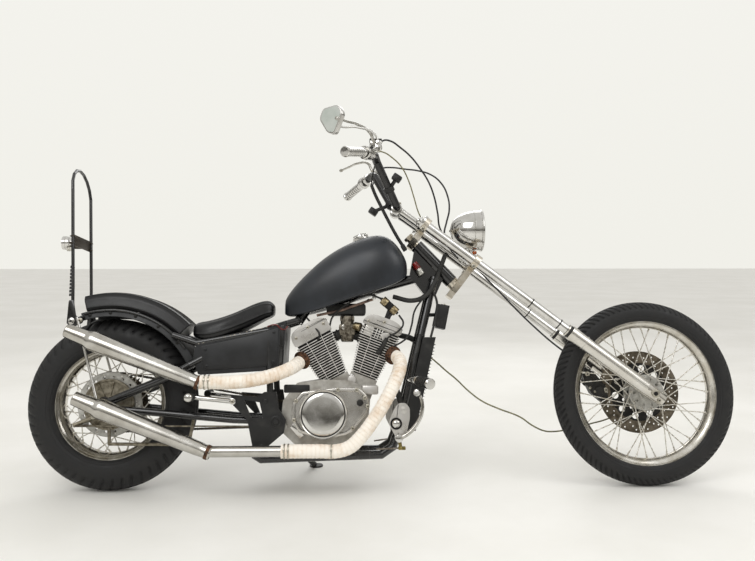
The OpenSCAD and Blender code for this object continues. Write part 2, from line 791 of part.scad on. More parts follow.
// Clamp rings and bridge plate of one tree, s back to the steering axis
module tree(s) {
    for (y = [-leg_y, leg_y]) translate([0, y, 0]) cylinder(h = tree_t, d = fork_tube_d + 22, center = true);
    w = leg_y * 0.62;
    translate([0, 0, -tree_t / 2]) linear_extrude(tree_t)
        polygon([[12, -w], [12, w], [8 - s, w], [-s - 30, 24], [-s - 30, -24], [8 - s, -w]]);
    translate([-24, -leg_y, -tree_t / 2]) cube([34, leg_spacing, tree_t]);
}

module upper_tree() {
    color([0.12, 0.12, 0.12]) lean() difference() {
        on_fork(upper_tree_d) tree(stem_s(upper_tree_d));
        tree_holes();
    }
}

module lower_tree() {
    color([0.8, 0.76, 0.68]) lean() {
        difference() {
            on_fork(lower_tree_d) {
                tree(stem_s(lower_tree_d));
                translate([-stem_s(lower_tree_d) - 52, -28, -tree_t / 2]) cube([40, 56, tree_t]);
            }
            leg_holes();
        }
        on_head(stem_t(lower_tree_d) - 10) cylinder(h = stem_t(upper_tree_d) - stem_t(lower_tree_d) + 34, d = stem_d);
        on_head(stem_t(lower_tree_d)) cylinder(h = -head_half - 0.5 - stem_t(lower_tree_d), d = stem_d + 20);
        on_head(stem_t(upper_tree_d) + 20) cylinder(h = 12, d = stem_d + 10);
    }
}

module leg_holes() {
    for (y = [-leg_y, leg_y]) on_fork(lower_tree_d - 60, 0, y)
        cylinder(h = fork_l, d = fork_tube_d + 2 * run_fit);
}

module tree_holes() {
    leg_holes();
    on_head(0) cylinder(h = 300, d = stem_d + 2 * run_fit);
}

module fork_tubes() {
    color([0.8, 0.8, 0.8]) lean() both_sides() {
        on_fork(slider_l - 40, 0, leg_y) cylinder(h = fork_l - slider_l + 40, d = fork_tube_d);
        on_fork(fork_l, 0, leg_y) cylinder(h = 8, d = fork_tube_d - 8);
    }
}

module fork_sliders() {
    color([0.8, 0.78, 0.75]) lean() difference() {
        both_sides() {
            on_fork(34, 0, leg_y) cylinder(h = slider_l - 34, d = slider_d);
            on_fork(-46, 0, leg_y) cylinder(h = 80, d1 = slider_d - 13, d2 = slider_d);
            on_fork(slider_l, 0, leg_y) cylinder(h = 16, d = slider_d - 8);
        }
        both_sides() on_fork(slider_l - 41, 0, leg_y) cylinder(h = 80, d = fork_tube_d + 2 * run_fit);
        cross_bar(front_x, front_z, -leg_y - 60, leg_y + 60, front_axle_d + 2 * run_fit);
    }
}

// Hollow axle with spacers to the hub
module front_axle() {
    color([0.6, 0.6, 0.62]) lean() difference() {
        union() {
            cross_bar(front_x, front_z, -leg_y - 14, leg_y + 30, front_axle_d);
            both_sides() cross_bar(front_x, front_z, leg_y - 12 - slider_d / 4, 45, 32);
            cross_bar(front_x, front_z, leg_y + slider_d / 2 + seat_gap, leg_y + 40, 32);
        }
        cross_bar(front_x, front_z, -leg_y - 30, leg_y + 50, front_axle_bore);
    }
}

head_lamp_p = [379, 0, 979];

// Bullet shell with its rim, on a stem from the lower tree
module headlight() {
    r = headlight_d / 2;
    color([0.85, 0.85, 0.85]) lean() {
        translate(head_lamp_p) rotate([0, -90, 0]) {
            cylinder(h = 16, r = r);
            translate([0, 0, 16]) rotate_extrude() polygon([[0, 0], [r - 3, 0], [r - 6, 30], [r - 16, 60],
                [r - 34, 90], [r - 54, 106], [0, 112]]);
        }
        foot = fork_p(lower_tree_d, -34);
        on_fork(lower_tree_d) rotate([0, 90, 0]) translate([0, 0, 12 + seat_gap]) cylinder(h = 22, d = 34);
        bar([head_lamp_p[0] - 46, 0, head_lamp_p[2] - r + 16], foot, 22);
    }
}

riser_top = [59, 44, 1049];

module risers() {
    base = fork_p(upper_tree_d + tree_t / 2 + seat_gap, 2, 0);
    color([0.85, 0.85, 0.85]) lean() both_sides() {
        difference() {
            bar([base[0], 44, base[2]] - 6 * unit(riser_top - base), riser_top, 30);
            bent_bar(across(bar_pts), bar_d + 2 * seat_gap);
            on_fork(upper_tree_d) translate([-60, 0, -60]) cube([120, 100, 60 + tree_t / 2 + seat_gap]);
        }
    }
}

bar_pts = [[50, 44, 1056], [42, 62, 1070], grip_in + [51, -134, 0], grip_in + [43, -102, 14], grip_in];
bar_end_d = 22;

module handlebar() {
    color([0.05, 0.05, 0.05]) lean() {
        bent_bar(across(bar_pts), bar_d);
        both_sides() bar(grip_in, grip_out, bar_end_d);
    }
}

module grips() {
    dir = unit(grip_out - grip_in);
    color([0.75, 0.75, 0.75]) lean() both_sides() difference() {
        bar(grip_in + 4 * dir, grip_out + 6 * dir, grip_d);
        bar(grip_in - dir, grip_out + seat_gap * dir, bar_end_d + 2 * run_fit);
    }
}

// Switch housings, lever perches and levers
module bar_controls() {
    dir = unit(bar_pts[4] - bar_pts[3]);
    inner = grip_in - 62 * dir;
    lever = [inner + [26, 0, 22], inner + [6, 16, 70], grip_in + [-20, 20, 98], lever_out];
    color([0.7, 0.7, 0.7]) lean() both_sides() difference() {
        union() {
            bar(grip_in - 40 * dir, grip_in - 4 * dir, 50);
            bar(inner - 12 * dir, inner + 12 * dir, 44);
            bar(inner + [-6, 0, 8], inner + [34, 0, 26], 28);
            bar(inner + [34, -14, 26], inner + [30, 24, 30], 26);
            bent_bar(lever, 12);
        }
        bar(bar_pts[3], bar_pts[4], bar_d + 2 * run_fit);
        bar(grip_in - dir, grip_in + 8 * dir, bar_d + 2 * run_fit);
    }
}

// Mirror on a stem from the right perch
module bar_mirror() {
    dir = unit(bar_pts[4] - bar_pts[3]);
    base = flip(grip_in - 62 * dir) + [30, -22, 36];
    tip = [-196, -352, 1318];
    color([0.8, 0.8, 0.8]) lean() {
        bent_bar([base, base + [-14, -6, 26], tip + [26, 26, -14], tip], 10);
        translate(tip) rotate([90, 0, -34]) translate([0, 0, -13]) linear_extrude(26)
            polygon([[-50, 10], [-34, 46], [30, 50], [50, 18], [16, -56], [-14, -48]]);
    }
}

caliper_y = 55;

// Caliper over the disc's rear edge, on two lugs from the left slider
module front_caliper() {
    color([0.07, 0.07, 0.07]) lean() difference() {
        union() {
            on_fork(0, 0, caliper_y) rotate([90, 0, 0]) translate([0, 0, -19]) linear_extrude(38)
                polygon([[-52, 228], [-84, 214], [-118, 150], [-120, 92], [-96, 82], [-62, 120], [-44, 190]]);
            for (d = [112, 205]) bar(fork_p(d, 66, 74), fork_p(d, 20, 88), 26);
        }
        on_fork(34, 0, leg_y) cylinder(h = slider_l, d = slider_d + 2 * seat_gap);
        cross_bar(front_x, front_z, caliper_y - 10.5, caliper_y + 5.5, 2 * front_disc_r + 12);
    }
}

// ---- Cords ----

brake_hose_pts = [[-30, -205, 1266], [-12, -197, 1288], [18, -178, 1292], [55, -152, 1275], [98, -126, 1245],
    [135, -98, 1206], [168, -68, 1164], [193, -36, 1112], [210, -4, 1050], [222, 24, 992], [260, 42, 940], [318, 52, 892],
    [362, 56, 848], [405, 60, 800], [455, 62, 748], [520, 70, 680], [600, 76, 602], [680, 78, 532],
    [740, 76, 488], [790, 70, 452], [806, 64, 430]];
clutch_cable_pts = [[-32, 205, 1266], [0, 196, 1281], [36, 184, 1281], [92, 166, 1270], [147, 146, 1258], [198, 118, 1234],
    [236, 88, 1192], [258, 56, 1131], [260, 26, 1068], [245, 2, 1012], [234, -16, 966], [240, -27, 928], [262, -28, 892],
    [300, -22, 850]];
throttle_cable_pts = [[-46, -226, 1238], [-14, -214, 1240], [26, -190, 1222], [61, -160, 1194], [88, -128, 1150],
    [110, -98, 1092], [128, -74, 1040], [150, -58, 1000]];
speedo_fork_pts = [[672, 110, 194], [700, 110, 196], [750, 110, 206], [816, 110, 222], [884, 110, 240],
    [940, 108, 266], [980, 104, 300], [1000, 102, 324]];
speedo_frame_pts = [[160, 74, 486], [184, 88, 482], [212, 104, 462], [244, 110, 434], [285, 110, 400], [335, 110, 352],
    [387, 110, 313], [450, 110, 284], [537, 110, 250], [590, 110, 214], [635, 110, 195], [664, 110, 193]];

module brake_hose() {
    color([0.06, 0.06, 0.06]) lean() cord(brake_hose_pts, 7);
}

module clutch_cable() {
    color([0.06, 0.06, 0.06]) lean() cord(clutch_cable_pts, 7);
}

module throttle_cable() {
    color([0.35, 0.34, 0.24]) lean() cord(throttle_cable_pts, 5);
}

module speedo_cable_fork() {
    color([0.35, 0.34, 0.24]) lean() cord(speedo_fork_pts, 6);
}

module speedo_cable_frame() {
    color([0.35, 0.34, 0.24]) lean() cord(speedo_frame_pts, 6);
}

// ---- Side stand ----

module side_stand() {
    color([0.10, 0.10, 0.10]) {
        lean() difference() {
            union() {
                bar(stand_pivot, stand_foot_p + 20 * unit(stand_pivot - stand_foot_p), stand_d);
                bar(stand_pivot - 8 * stand_axis, stand_pivot + 8 * stand_axis, stand_eye_d);
            }
            bar(stand_pivot - 20 * stand_axis, stand_pivot + 20 * stand_axis, stand_pin_d + 2 * run_fit);
            for (s = [-1, 1])
                bar(stand_pivot + s * 8 * stand_axis, stand_pivot + s * 30 * stand_axis, stand_eye_d + 8);
        }
        translate([stand_foot_w[0] + x_shift, stand_foot_w[1] + y_shift, 0]) cylinder(h = 6, d = 54);
    }
}

frame_top();
down_tubes();
lower_rails();
pivot_plates();
swingarm();
rear_axle();
fuel_tank();
fuel_cap();
rider_seat();
passenger_seat();
rear_fender();
sissy_bar();
fender_struts();
tail_lamp();
battery_box();
crankcase();
engine_covers();
cylinders();
carburettors();
ignition_coil();
radiator();
regulator();
exhaust_pipes();
mufflers();
forward_controls();
foot_levers();
passenger_pegs();
rear_brake();
drive_chain();
upper_tree();
lower_tree();
fork_tubes();
fork_sliders();
front_axle();
headlight();
risers();
handlebar();
grips();
bar_controls();
bar_mirror();
front_caliper();
brake_hose();
clutch_cable();
throttle_cable();
speedo_cable_fork();
speedo_cable_frame();
front_tyre();
front_wheel();
front_disc();
rear_tyre();
rear_wheel();
rear_sprocket();
side_stand();
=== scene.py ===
import math
import json
import random

import bpy
from mathutils import Matrix, Vector


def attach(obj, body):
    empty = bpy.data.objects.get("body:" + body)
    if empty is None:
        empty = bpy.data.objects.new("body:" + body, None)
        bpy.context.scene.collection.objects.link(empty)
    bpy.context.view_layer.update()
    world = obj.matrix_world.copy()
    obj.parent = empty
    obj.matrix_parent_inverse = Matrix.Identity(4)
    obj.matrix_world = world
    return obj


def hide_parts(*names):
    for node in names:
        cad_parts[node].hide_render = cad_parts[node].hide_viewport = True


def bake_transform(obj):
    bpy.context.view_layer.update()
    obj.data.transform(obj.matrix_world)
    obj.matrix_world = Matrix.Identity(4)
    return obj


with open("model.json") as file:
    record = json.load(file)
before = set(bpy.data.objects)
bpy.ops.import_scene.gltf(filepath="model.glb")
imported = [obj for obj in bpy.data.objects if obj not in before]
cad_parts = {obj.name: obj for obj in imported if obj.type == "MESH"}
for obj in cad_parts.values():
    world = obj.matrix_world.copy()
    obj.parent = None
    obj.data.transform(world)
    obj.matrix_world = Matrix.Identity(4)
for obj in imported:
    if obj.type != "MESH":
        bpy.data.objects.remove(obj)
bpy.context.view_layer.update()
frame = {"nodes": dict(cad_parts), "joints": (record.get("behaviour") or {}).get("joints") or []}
random.seed(7)

# ---------------------------------------------------------------- camera
# A normal lens at chest height, three metres off the machine's right side,
# square to it but for a degree or so.
joints = {j["name"]: j for j in frame["joints"]}
rear_axle_at = Vector(joints["rear_wheel_spin"]["pos_m"])
lens_data = bpy.data.cameras.new("portrait_lens")
lens_data.sensor_width = 36
lens_data.lens = 37.19
lens_data.shift_y = -0.0437
lens_data.clip_end = 60
lens = bpy.data.objects.new("portrait_lens", lens_data)
lens.location = (-0.1136, -3.108, 0.903)
lens.rotation_euler = (math.radians(90), 0, math.radians(-1.6))
bpy.context.scene.collection.objects.link(lens)
bpy.context.scene.camera = lens
bpy.context.scene.view_settings.view_transform = "Standard"


# ---------------------------------------------------------------- floor and light
# Pale painted concrete floor, two large soft boxes and an even pale room.
def paint(code):
    """sRGB hex code to linear colour."""
    parts = [int(code[i : i + 2], 16) / 255 for i in (1, 3, 5)]
    return [c / 12.92 if c <= 0.04045 else ((c + 0.055) / 1.055) ** 2.4 for c in parts] + [1]


def add(tree, kind, values=None, links=None):
    """One node with its settings; links are input name: (node, output name)."""
    node = tree.nodes.new(kind)
    for key, value in (values or {}).items():
        if key in node.inputs:
            node.inputs[key].default_value = value
        else:
            setattr(node, key, value)
    for key, (source, output) in (links or {}).items():
        tree.links.new(source.outputs[output], node.inputs[key])
    return node


def surface(name, colour, metal=0.0, rough=0.5, **sockets):
    """A material whose even values sit on the shader's own sockets."""
    made = bpy.data.materials.new(name)
    made.use_nodes = True
    shader = made.node_tree.nodes["Principled BSDF"]
    shader.inputs["Base Color"].default_value = paint(colour)
    shader.inputs["Metallic"].default_value = metal
    shader.inputs["Roughness"].default_value = rough
    for key, value in sockets.items():
        shader.inputs[key.replace("_", " ")].default_value = value
    return made, made.node_tree, shader


def material(name, colour, metal, rough, grain_mm, shade, worn, sheen, bump_mm=0.0, spread=(0.4, 0.62), fine=4,
    pits=None, **sockets):
    """Patchy colour and sheen of one grain size, with a fine relief, or pits of (size in mm, strength, depth)."""
    made, tree, shader = surface(name, colour, metal, rough, **sockets)
    place = add(tree, "ShaderNodeTexCoord")
    grain = add(tree, "ShaderNodeTexNoise", {"Scale": 1000 / grain_mm, "Detail": 6, "Roughness": 0.62},
        {"Vector": (place, "Object")})
    ramp = add(tree, "ShaderNodeValToRGB", None, {"Fac": (grain, "Fac")})
    for stop, at, code in zip(ramp.color_ramp.elements, spread, (shade, worn)):
        stop.position = at
        stop.color = paint(code)
    gloss = add(tree, "ShaderNodeMapRange", {"From Min": 0.3, "From Max": 0.7, "To Min": sheen[0],
        "To Max": sheen[1]}, {"Value": (grain, "Fac")})
    tree.links.new(ramp.outputs["Color"], shader.inputs["Base Color"])
    tree.links.new(gloss.outputs["Result"], shader.inputs["Roughness"])
    if bump_mm:
        pores = add(tree, "ShaderNodeTexNoise", {"Scale": fine * 1000 / grain_mm, "Detail": 3},
            {"Vector": (place, "Object")})
        relief = add(tree, "ShaderNodeBump", {"Strength": 0.6, "Distance": bump_mm / 1000},
            {"Height": (pores, "Fac")})
    if pits:
        cells = add(tree, "ShaderNodeTexVoronoi", {"Scale": 1000 / pits[0]}, {"Vector": (place, "Object")})
        relief = add(tree, "ShaderNodeBump", {"Strength": pits[1], "Distance": pits[2]}, {"Height": (cells,
            "Distance")})
    if bump_mm or pits:
        tree.links.new(relief.outputs["Normal"], shader.inputs["Normal"])
    return made


# Painted concrete: nearly even, a little patchy where it is worn.
floor_paint = material("floor_paint", "#efeee9", 0.0, 0.6, 900, "#ecebe5", "#f2f1ec", (0.5, 0.7))
bpy.ops.object.select_all(action="DESELECT")
bpy.ops.mesh.primitive_plane_add(size=60)
floor = bpy.context.object
floor.name = "floor"
floor.data.materials.append(floor_paint)

room = bpy.data.worlds.new("pale_room")
bpy.context.scene.world = room
room.use_nodes = True
tree = room.node_tree
tree.nodes.clear()
seen = add(tree, "ShaderNodeLightPath")
direct = add(tree, "ShaderNodeMath", {"operation": "MAXIMUM"})
tree.links.new(seen.outputs["Is Camera Ray"], direct.inputs[0])
tree.links.new(seen.outputs["Is Transmission Ray"], direct.inputs[1])
height = add(tree, "ShaderNodeTexCoord")
split = add(tree, "ShaderNodeSeparateXYZ", None, {"Vector": (height, "Generated")})
wall = add(tree, "ShaderNodeValToRGB", None, {"Fac": (split, "Z")})
wall.color_ramp.elements[0].position = 0.0
wall.color_ramp.elements[0].color = paint("#f1f0e9")
wall.color_ramp.elements[1].position = 0.55
wall.color_ramp.elements[1].color = paint("#f6f5f0")
shown = add(tree, "ShaderNodeBackground", {"Strength": 1.0}, {"Color": (wall, "Color")})
lit = add(tree, "ShaderNodeBackground", {"Color": (1, 0.985, 0.96, 1), "Strength": 0.82})
# What polished metal mirrors: a dim clutter at eye level under a bright ceiling.
clutter = add(tree, "ShaderNodeValToRGB", None, {"Fac": (split, "Z")})
for stop, at, code in zip(clutter.color_ramp.elements, (0.0, 1.0), ("#8a8781", "#f6f5f1")):
    stop.position = at
    stop.color = paint(code)
for at, code in ((0.04, "#55534f"), (0.14, "#a09d96"), (0.26, "#d9d7d1"), (0.55, "#eeede9")):
    clutter.color_ramp.elements.new(at).color = paint(code)
mirrored = add(tree, "ShaderNodeBackground", {"Strength": 0.9}, {"Color": (clutter, "Color")})
bounced = add(tree, "ShaderNodeMixShader", None, {0: (seen, "Is Glossy Ray"), 1: (lit, "Background"),
    2: (mirrored, "Background")})
mixed = add(tree, "ShaderNodeMixShader", None, {0: (direct, "Value"), 1: (bounced, "Shader"),
    2: (shown, "Background")})
add(tree, "ShaderNodeOutputWorld", None, {"Surface": (mixed, "Shader")})

for name, at, size, power in (("key", (-1.6, -3.2, 3.4), 2.2, 52), ("fill", (2.4, -1.6, 2.8), 1.8, 22),
    ("back", (0.2, 3.2, 3.0), 2.4, 30)):
    lamp = bpy.data.lights.new("softbox_" + name, "AREA")
    lamp.size = size
    lamp.energy = power
    softbox = bpy.data.objects.new("softbox_" + name, lamp)
    softbox.location = at
    softbox.rotation_euler = (Vector((0, -0.1, 0.5)) - Vector(at)).to_track_quat("-Z", "Y").to_euler()
    bpy.context.scene.collection.objects.link(softbox)

# ---------------------------------------------------------------- cords
# Hydraulic hose and control cables: steel wires or nylon tube in an extruded
# rubber or plastic jacket, each ending in a crimped sleeve.
side_way = Vector(joints["rear_wheel_spin"]["axis"])
up_way = Vector((1, 0, 0)).cross(side_way)
upright = Matrix((Vector((1, 0, 0)), side_way, up_way)).transposed().to_4x4()
front_x, front_z, rear_x, rear_z = 994.5, 347.98, -1025.5, 317.24
front_axle, rear_axle = (front_x, 0, front_z), Vector((rear_x, 0, rear_z))
stance = Matrix.Translation(rear_axle_at) @ upright @ Matrix.Diagonal((0.001, 0.001, 0.001,
    1)) @ Matrix.Translation(-rear_axle)


def stands(point):
    """Place on the leaning machine, in metres, of a point laid out upright in mm."""
    return stance @ Vector(point)


# Extruded rubber jacket: even black, slightly greyed where it rubs.
rubber_jacket = material("rubber_jacket", "#151516", 0.0, 0.5, 14, "#121213", "#232325", (0.4, 0.62), 0.05)
# Aged vinyl jacket: olive, a little dusty.
vinyl_jacket = material("vinyl_jacket", "#6f6b4c", 0.0, 0.55, 20, "#5f5c40", "#807b5b", (0.45, 0.65), 0.05)
# Zinc-plated steel sleeve: grey, softly bright.
zinc_plate = material("zinc_plate", "#b9b8b2", 1.0, 0.35, 6, "#a5a39b", "#c9c8c2", (0.28, 0.48))


def mode(name):
    """Enter edit or object mode."""
    bpy.ops.object.mode_set(mode=name)


def pick(action):
    """Select or deselect the whole mesh."""
    bpy.ops.mesh.select_all(action=action)


def smooth(degrees):
    """Smooth shading that keeps edges sharper than this."""
    bpy.ops.object.shade_smooth_by_angle(angle=math.radians(degrees))


def settle():
    """Put the object's place, turn and scale into its mesh."""
    bpy.ops.object.transform_apply(location=True, rotation=True, scale=True)


def clear():
    """Nothing selected, object mode."""
    if bpy.context.object and bpy.context.object.mode != "OBJECT":
        mode("OBJECT")
    bpy.ops.object.select_all(action="DESELECT")


def only(piece):
    clear()
    piece.select_set(True)
    bpy.context.view_layer.objects.active = piece
    return piece


def rod(start, end, r, tip=None, sides=20):
    """Round bar or cone from start to end."""
    start, end = Vector(start), Vector(end)
    clear()
    bpy.ops.mesh.primitive_cone_add(vertices=sides, radius1=r, radius2=r if tip is None else tip,
        depth=(end - start).length, location=(start + end) / 2, rotation=(end - start).to_track_quat("Z",
        "Y").to_euler())
    return bpy.context.object


def joined(parts):
    """Several parts made one piece."""
    only(parts[0])
    for part in parts[1:]:
        part.select_set(True)
    if len(parts) > 1:
        bpy.ops.object.join()
    settle()
    return bpy.context.object


def dress(piece, finish):
    """Give a piece, or parts that it joins, one material."""
    piece = joined(piece) if isinstance(piece, list) else piece
    piece.data.materials.clear()
    piece.data.materials.append(finish)
    return piece


def carried(finish, *nodes):
    """Material for the CAD solids that are shown as they are."""
    for node in nodes:
        dress(frame["nodes"][node], finish)


def soften(piece, width=1.0, angle=35, segments=2):
    """Break the sharp edges."""
    only(piece)
    settle()
    edge = piece.modifiers.new("edge", "BEVEL")
    edge.width = width
    edge.segments = segments
    edge.limit_method = "ANGLE"
    edge.angle_limit = math.radians(angle)
    edge.harden_normals = False
    bpy.ops.object.modifier_apply(modifier=edge.name)
    smooth(40)
    return piece


def pin(edge, *bar, **more):
    """Rod with its rims broken."""
    return soften(rod(*bar, **more), edge)


def fit(piece, name, body, slot, *stands_for):
    """Lean the finished piece, or joined parts, with the machine and hang it on its body."""
    only(joined(piece) if isinstance(piece, list) else piece)
    piece = bpy.context.object
    piece.matrix_world = stance @ piece.matrix_world
    settle()
    piece.name = name
    piece.data.name = name
    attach(piece, body)
    if stands_for:
        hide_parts(*stands_for)
    return piece


def curve(name, points, steps):
    """A smooth line through the points: the object and its spline."""
    route = bpy.data.curves.new(name, "CURVE")
    route.dimensions = "3D"
    route.resolution_u = steps
    line = route.splines.new("BEZIER")
    line.bezier_points.add(len(points) - 1)
    for knot, point in zip(line.bezier_points, points):
        knot.co = point
        knot.handle_left_type = knot.handle_right_type = "AUTO"
    made = bpy.data.objects.new(name, route)
    bpy.context.scene.collection.objects.link(made)
    bpy.context.view_layer.update()
    return made, line


def run_cord(name, points, width, finish, body, stands_for):
    cord, line = curve(name, [stands(point) for point in points], 10)
    cord.data.bevel_depth = width / 2000
    cord.data.bevel_resolution = 3
    cord.data.use_fill_caps = True
    cord.data.materials.append(finish)
    for tag, a, b in (("in", points[0], points[1]), ("out", points[-1], points[-2])):
        a, b = Vector(a), Vector(b)
        way = (b - a).normalized()
        sleeve = joined([rod(a, a + 22 * way, width * 0.75, width * 0.55, 16), rod(a + 4 * way, a + 10 * way,
            width * 0.95, None, 6)])
        dress(sleeve, zinc_plate)
        only(sleeve)
        smooth(35)
        fit(sleeve, name + "_sleeve_" + tag, body if isinstance(body, str) else body[0 if tag == "in" else 1],
            "chrome_plate")
    whole = line.calc_length()
    if isinstance(body, str):
        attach(cord, body)
    else:
        only(cord)
        bpy.ops.object.convert(target="MESH")
        cord = bpy.context.object
        path = [stands(point) for point in points]
        [tuple(p) for p in path]
        whole = sum((b - a).length for a, b in zip(path, path[1:]))
        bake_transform(cord)
    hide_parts(*stands_for)
    return cord


hose_route = [(-30, -205, 1266), (-12, -197, 1288), (18, -178, 1292), (55, -152, 1275), (98, -126, 1245),
    (135, -98, 1206), (168, -68, 1164), (193, -36, 1112), (210, -4, 1050), (222, 24, 992), (260, 42, 940),
    (318, 52, 892), (362, 56, 848), (405, 60, 800), (455, 62, 748), (520, 70, 680), (600, 76, 602), (680, 78, 532),
    (740, 76, 488), (790, 70, 452), (806, 64, 430)]
clutch_route = [(-32, 205, 1266), (0, 196, 1281), (36, 184, 1281), (92, 166, 1270), (147, 146, 1258),
    (198, 118, 1234), (236, 88, 1192), (258, 56, 1131), (260, 26, 1068), (245, 2, 1012), (234, -16, 966),
    (240, -27, 928), (262, -28, 892), (300, -22, 850)]
throttle_route = [(-46, -226, 1238), (-14, -214, 1240), (26, -190, 1222), (61, -160, 1194), (88, -128, 1150),
    (110, -98, 1092), (128, -74, 1040), (150, -58, 1000)]
speedo_route = [(160, 74, 486), (184, 88, 482), (212, 104, 462), (244, 110, 434), (285, 110, 400), (335, 110, 352),
    (387, 110, 313), (450, 110, 284), (537, 110, 250), (590, 110, 214), (635, 110, 195), (668, 110, 193),
    (700, 110, 196), (750, 110, 206), (816, 110, 222), (884, 110, 240), (940, 108, 266), (980, 104, 300),
    (1000, 102, 324)]
run_cord("front_brake_hose", hose_route, 7, rubber_jacket, "fork", ["brake_hose"])
run_cord("clutch_wire", clutch_route, 7, rubber_jacket, "fork", ["clutch_cable"])
run_cord("throttle_wire", throttle_route, 5, vinyl_jacket, "fork", ["throttle_cable"])
run_cord("speedo_wire", speedo_route, 6, vinyl_jacket, ("frame", "fork"), ["speedo_cable_fork",
    "speedo_cable_frame"])

# ---------------------------------------------------------------- tyres
# Cross-ply road tyres, moulded in black rubber with a grooved crown and
# plain sidewalls, seated on the rims' beads.
# Moulded rubber: dull black, brown-grey where road dust stays in it.
tyre_rubber = material("moulded_tyre_rubber", "#131314", 0.0, 0.72, 45, "#101011", "#242322", (0.52, 0.8), 0.12,
    (0.45, 0.75), 9)


def aim(piece, centre, way=(0, 1, 0), turn=0.0):
    """Put a piece made on +Z at its centre, pointing along way, turned about that line."""
    piece.matrix_world = (Matrix.Translation(Vector(centre)) @ Vector(way).to_track_quat("Z",
        "Y").to_matrix().to_4x4() @ Matrix.Rotation(math.radians(turn), 4, "Z"))
    only(piece)
    settle()
    return piece


def face_out():
    """Turn all faces outward."""
    bpy.ops.mesh.normals_make_consistent(inside=False)


def drawn(points, closed):
    """A line of edges through (x, y, z) points, one extrude at a time."""
    clear()
    bpy.ops.mesh.primitive_plane_add(size=1)
    piece = bpy.context.object
    mode("EDIT")
    bpy.ops.mesh.select_mode(type="VERT")
    bpy.ops.mesh.merge(type="CENTER")
    bpy.ops.transform.translate(value=points[0])
    for a, b in zip(points, points[1:]):
        bpy.ops.mesh.extrude_region_move(TRANSFORM_OT_translate={"value": tuple(Vector(b) - Vector(a))})
    pick("SELECT")
    if closed:
        bpy.ops.mesh.edge_face_add()
    return piece


def lathe(profile, steps=64, angle=360):
    """A (radius, height) profile spun about +Z. Whole turns are closed shells."""
    piece = drawn([(r, 0, h) for r, h in profile], angle < 360)
    bpy.ops.mesh.spin(steps=steps, angle=math.radians(angle), center=(0, 0, 0), axis=(0, 0, 1))
    pick("SELECT")
    bpy.ops.mesh.remove_doubles(threshold=0.02)
    face_out()
    mode("OBJECT")
    smooth(38)
    return piece


def turned(profile, steps, at, way=(0, 1, 0)):
    """A profile spun, then aimed."""
    return aim(lathe(profile, steps), at, way)


def hollow(profile, steps, at=None, way=(0, 1, 0)):
    """A profile that stays clear of the axis, closed and spun."""
    piece = lathe(profile + profile[:1], steps)
    return piece if at is None else aim(piece, at, way)


def ringed(r, h, size, count):
    """Round section of a wire at (r, h)."""
    return [(r + size * math.cos(k * math.tau / count),
        h + size * math.sin(k * math.tau / count)) for k in range(count)]


def torus(r, size, steps, at, way=(0, 1, 0)):
    """A ring of round section, aimed."""
    bpy.ops.mesh.primitive_torus_add(major_segments=steps, minor_segments=8, major_radius=r, minor_radius=size)
    return aim(bpy.context.object, at, way)


def tyre_body(name, body, node, axle, crown_at, crown_r, bead_r, bead_y, columns, groove, way):
    angles = [-118, -104, -90, -78, -66, -55, -44, -33, -24, -17, -12, -5, 5, 12, 17, 24, 33, 44, 55, 66, 78, 90, 104,
        118]
    edge = [(crown_at + crown_r * math.cos(math.radians(a)), crown_r * math.sin(math.radians(a))) for a in angles]
    profile = [(bead_r + 3, -bead_y + 2)] + edge + [(bead_r + 3, bead_y - 2), (bead_r + 3, -bead_y + 2)]
    piece = lathe(profile, columns)
    for v in piece.data.vertices:
        r = math.hypot(v.co.x, v.co.y)
        if r > crown_at - crown_r * 0.2:
            lean = math.degrees(math.atan2(v.co.z, r - crown_at))
            v.co = Matrix.Rotation(math.radians(way * min(abs(lean), 80) / 10), 3, "Z") @ v.co
    cut = set()
    for face in piece.data.polygons:
        c = face.center
        r = math.hypot(c.x, c.y)
        lean = abs(math.degrees(math.atan2(c.z, r - crown_at)))
        spot = math.degrees(math.atan2(c.y, c.x)) - way * min(lean, 80) / 10
        column = int(round(spot * columns / 360 - 0.5)) % columns
        shift = 0 if c.z > 0 else groove // 2
        across = 20 < lean < 72 and (column + shift) % groove == 0
        around = 12.5 < lean < 17 and r > crown_at
        if r > crown_at - crown_r * 0.5 and (across or around):
            cut.add(face.index)
    only(piece)
    mode("EDIT")
    pick("DESELECT")
    bpy.ops.mesh.select_mode(type="FACE")
    mode("OBJECT")
    for face in piece.data.polygons:
        face.select = face.index in cut
    mode("EDIT")
    bpy.ops.mesh.extrude_region_shrink_fatten(TRANSFORM_OT_shrink_fatten={"value": -3.2})
    mode("OBJECT")
    dress(piece, tyre_rubber)
    aim(piece, axle)
    beads = []
    for side in (-1, 1):
        for lift, size in ((0.30, 1.2), (0.62, 0.9)):
            r = bead_r + 10 + lift * (crown_at - bead_r - 10)
            y = side * (crown_r - 0.3) * math.sqrt(max(0.1, 1 - ((r - crown_at) / crown_r) ** 2))
            beads.append(dress(torus(r, size, 96, (axle[0], y, axle[2])), tyre_rubber))
            bpy.ops.object.shade_smooth()
    fit([piece] + beads, name, body, "tyre_rubber", node)


tyre_body("tyre_front", "front_wheel", "front_tyre", front_axle, 302.5, 45, 263, 27, 270, 3, 1)
tyre_body("tyre_rear", "rear_wheel", "rear_tyre", tuple(rear_axle), 246.5, 70, 196, 45, 200, 4, -1)

# ---------------------------------------------------------------- wheels
# Rolled and chromed steel rims laced to aluminium hubs with forty crossed
# wire spokes each; the rear hub is a drum brake.
# Chrome plate: bright, faintly clouded where it was last wiped.
chrome = material("chrome_plate", "#d6d5d2", 1.0, 0.1, 60, "#c4c2bd", "#dedddb", (0.05, 0.2), 0.0, (0.3, 0.7))
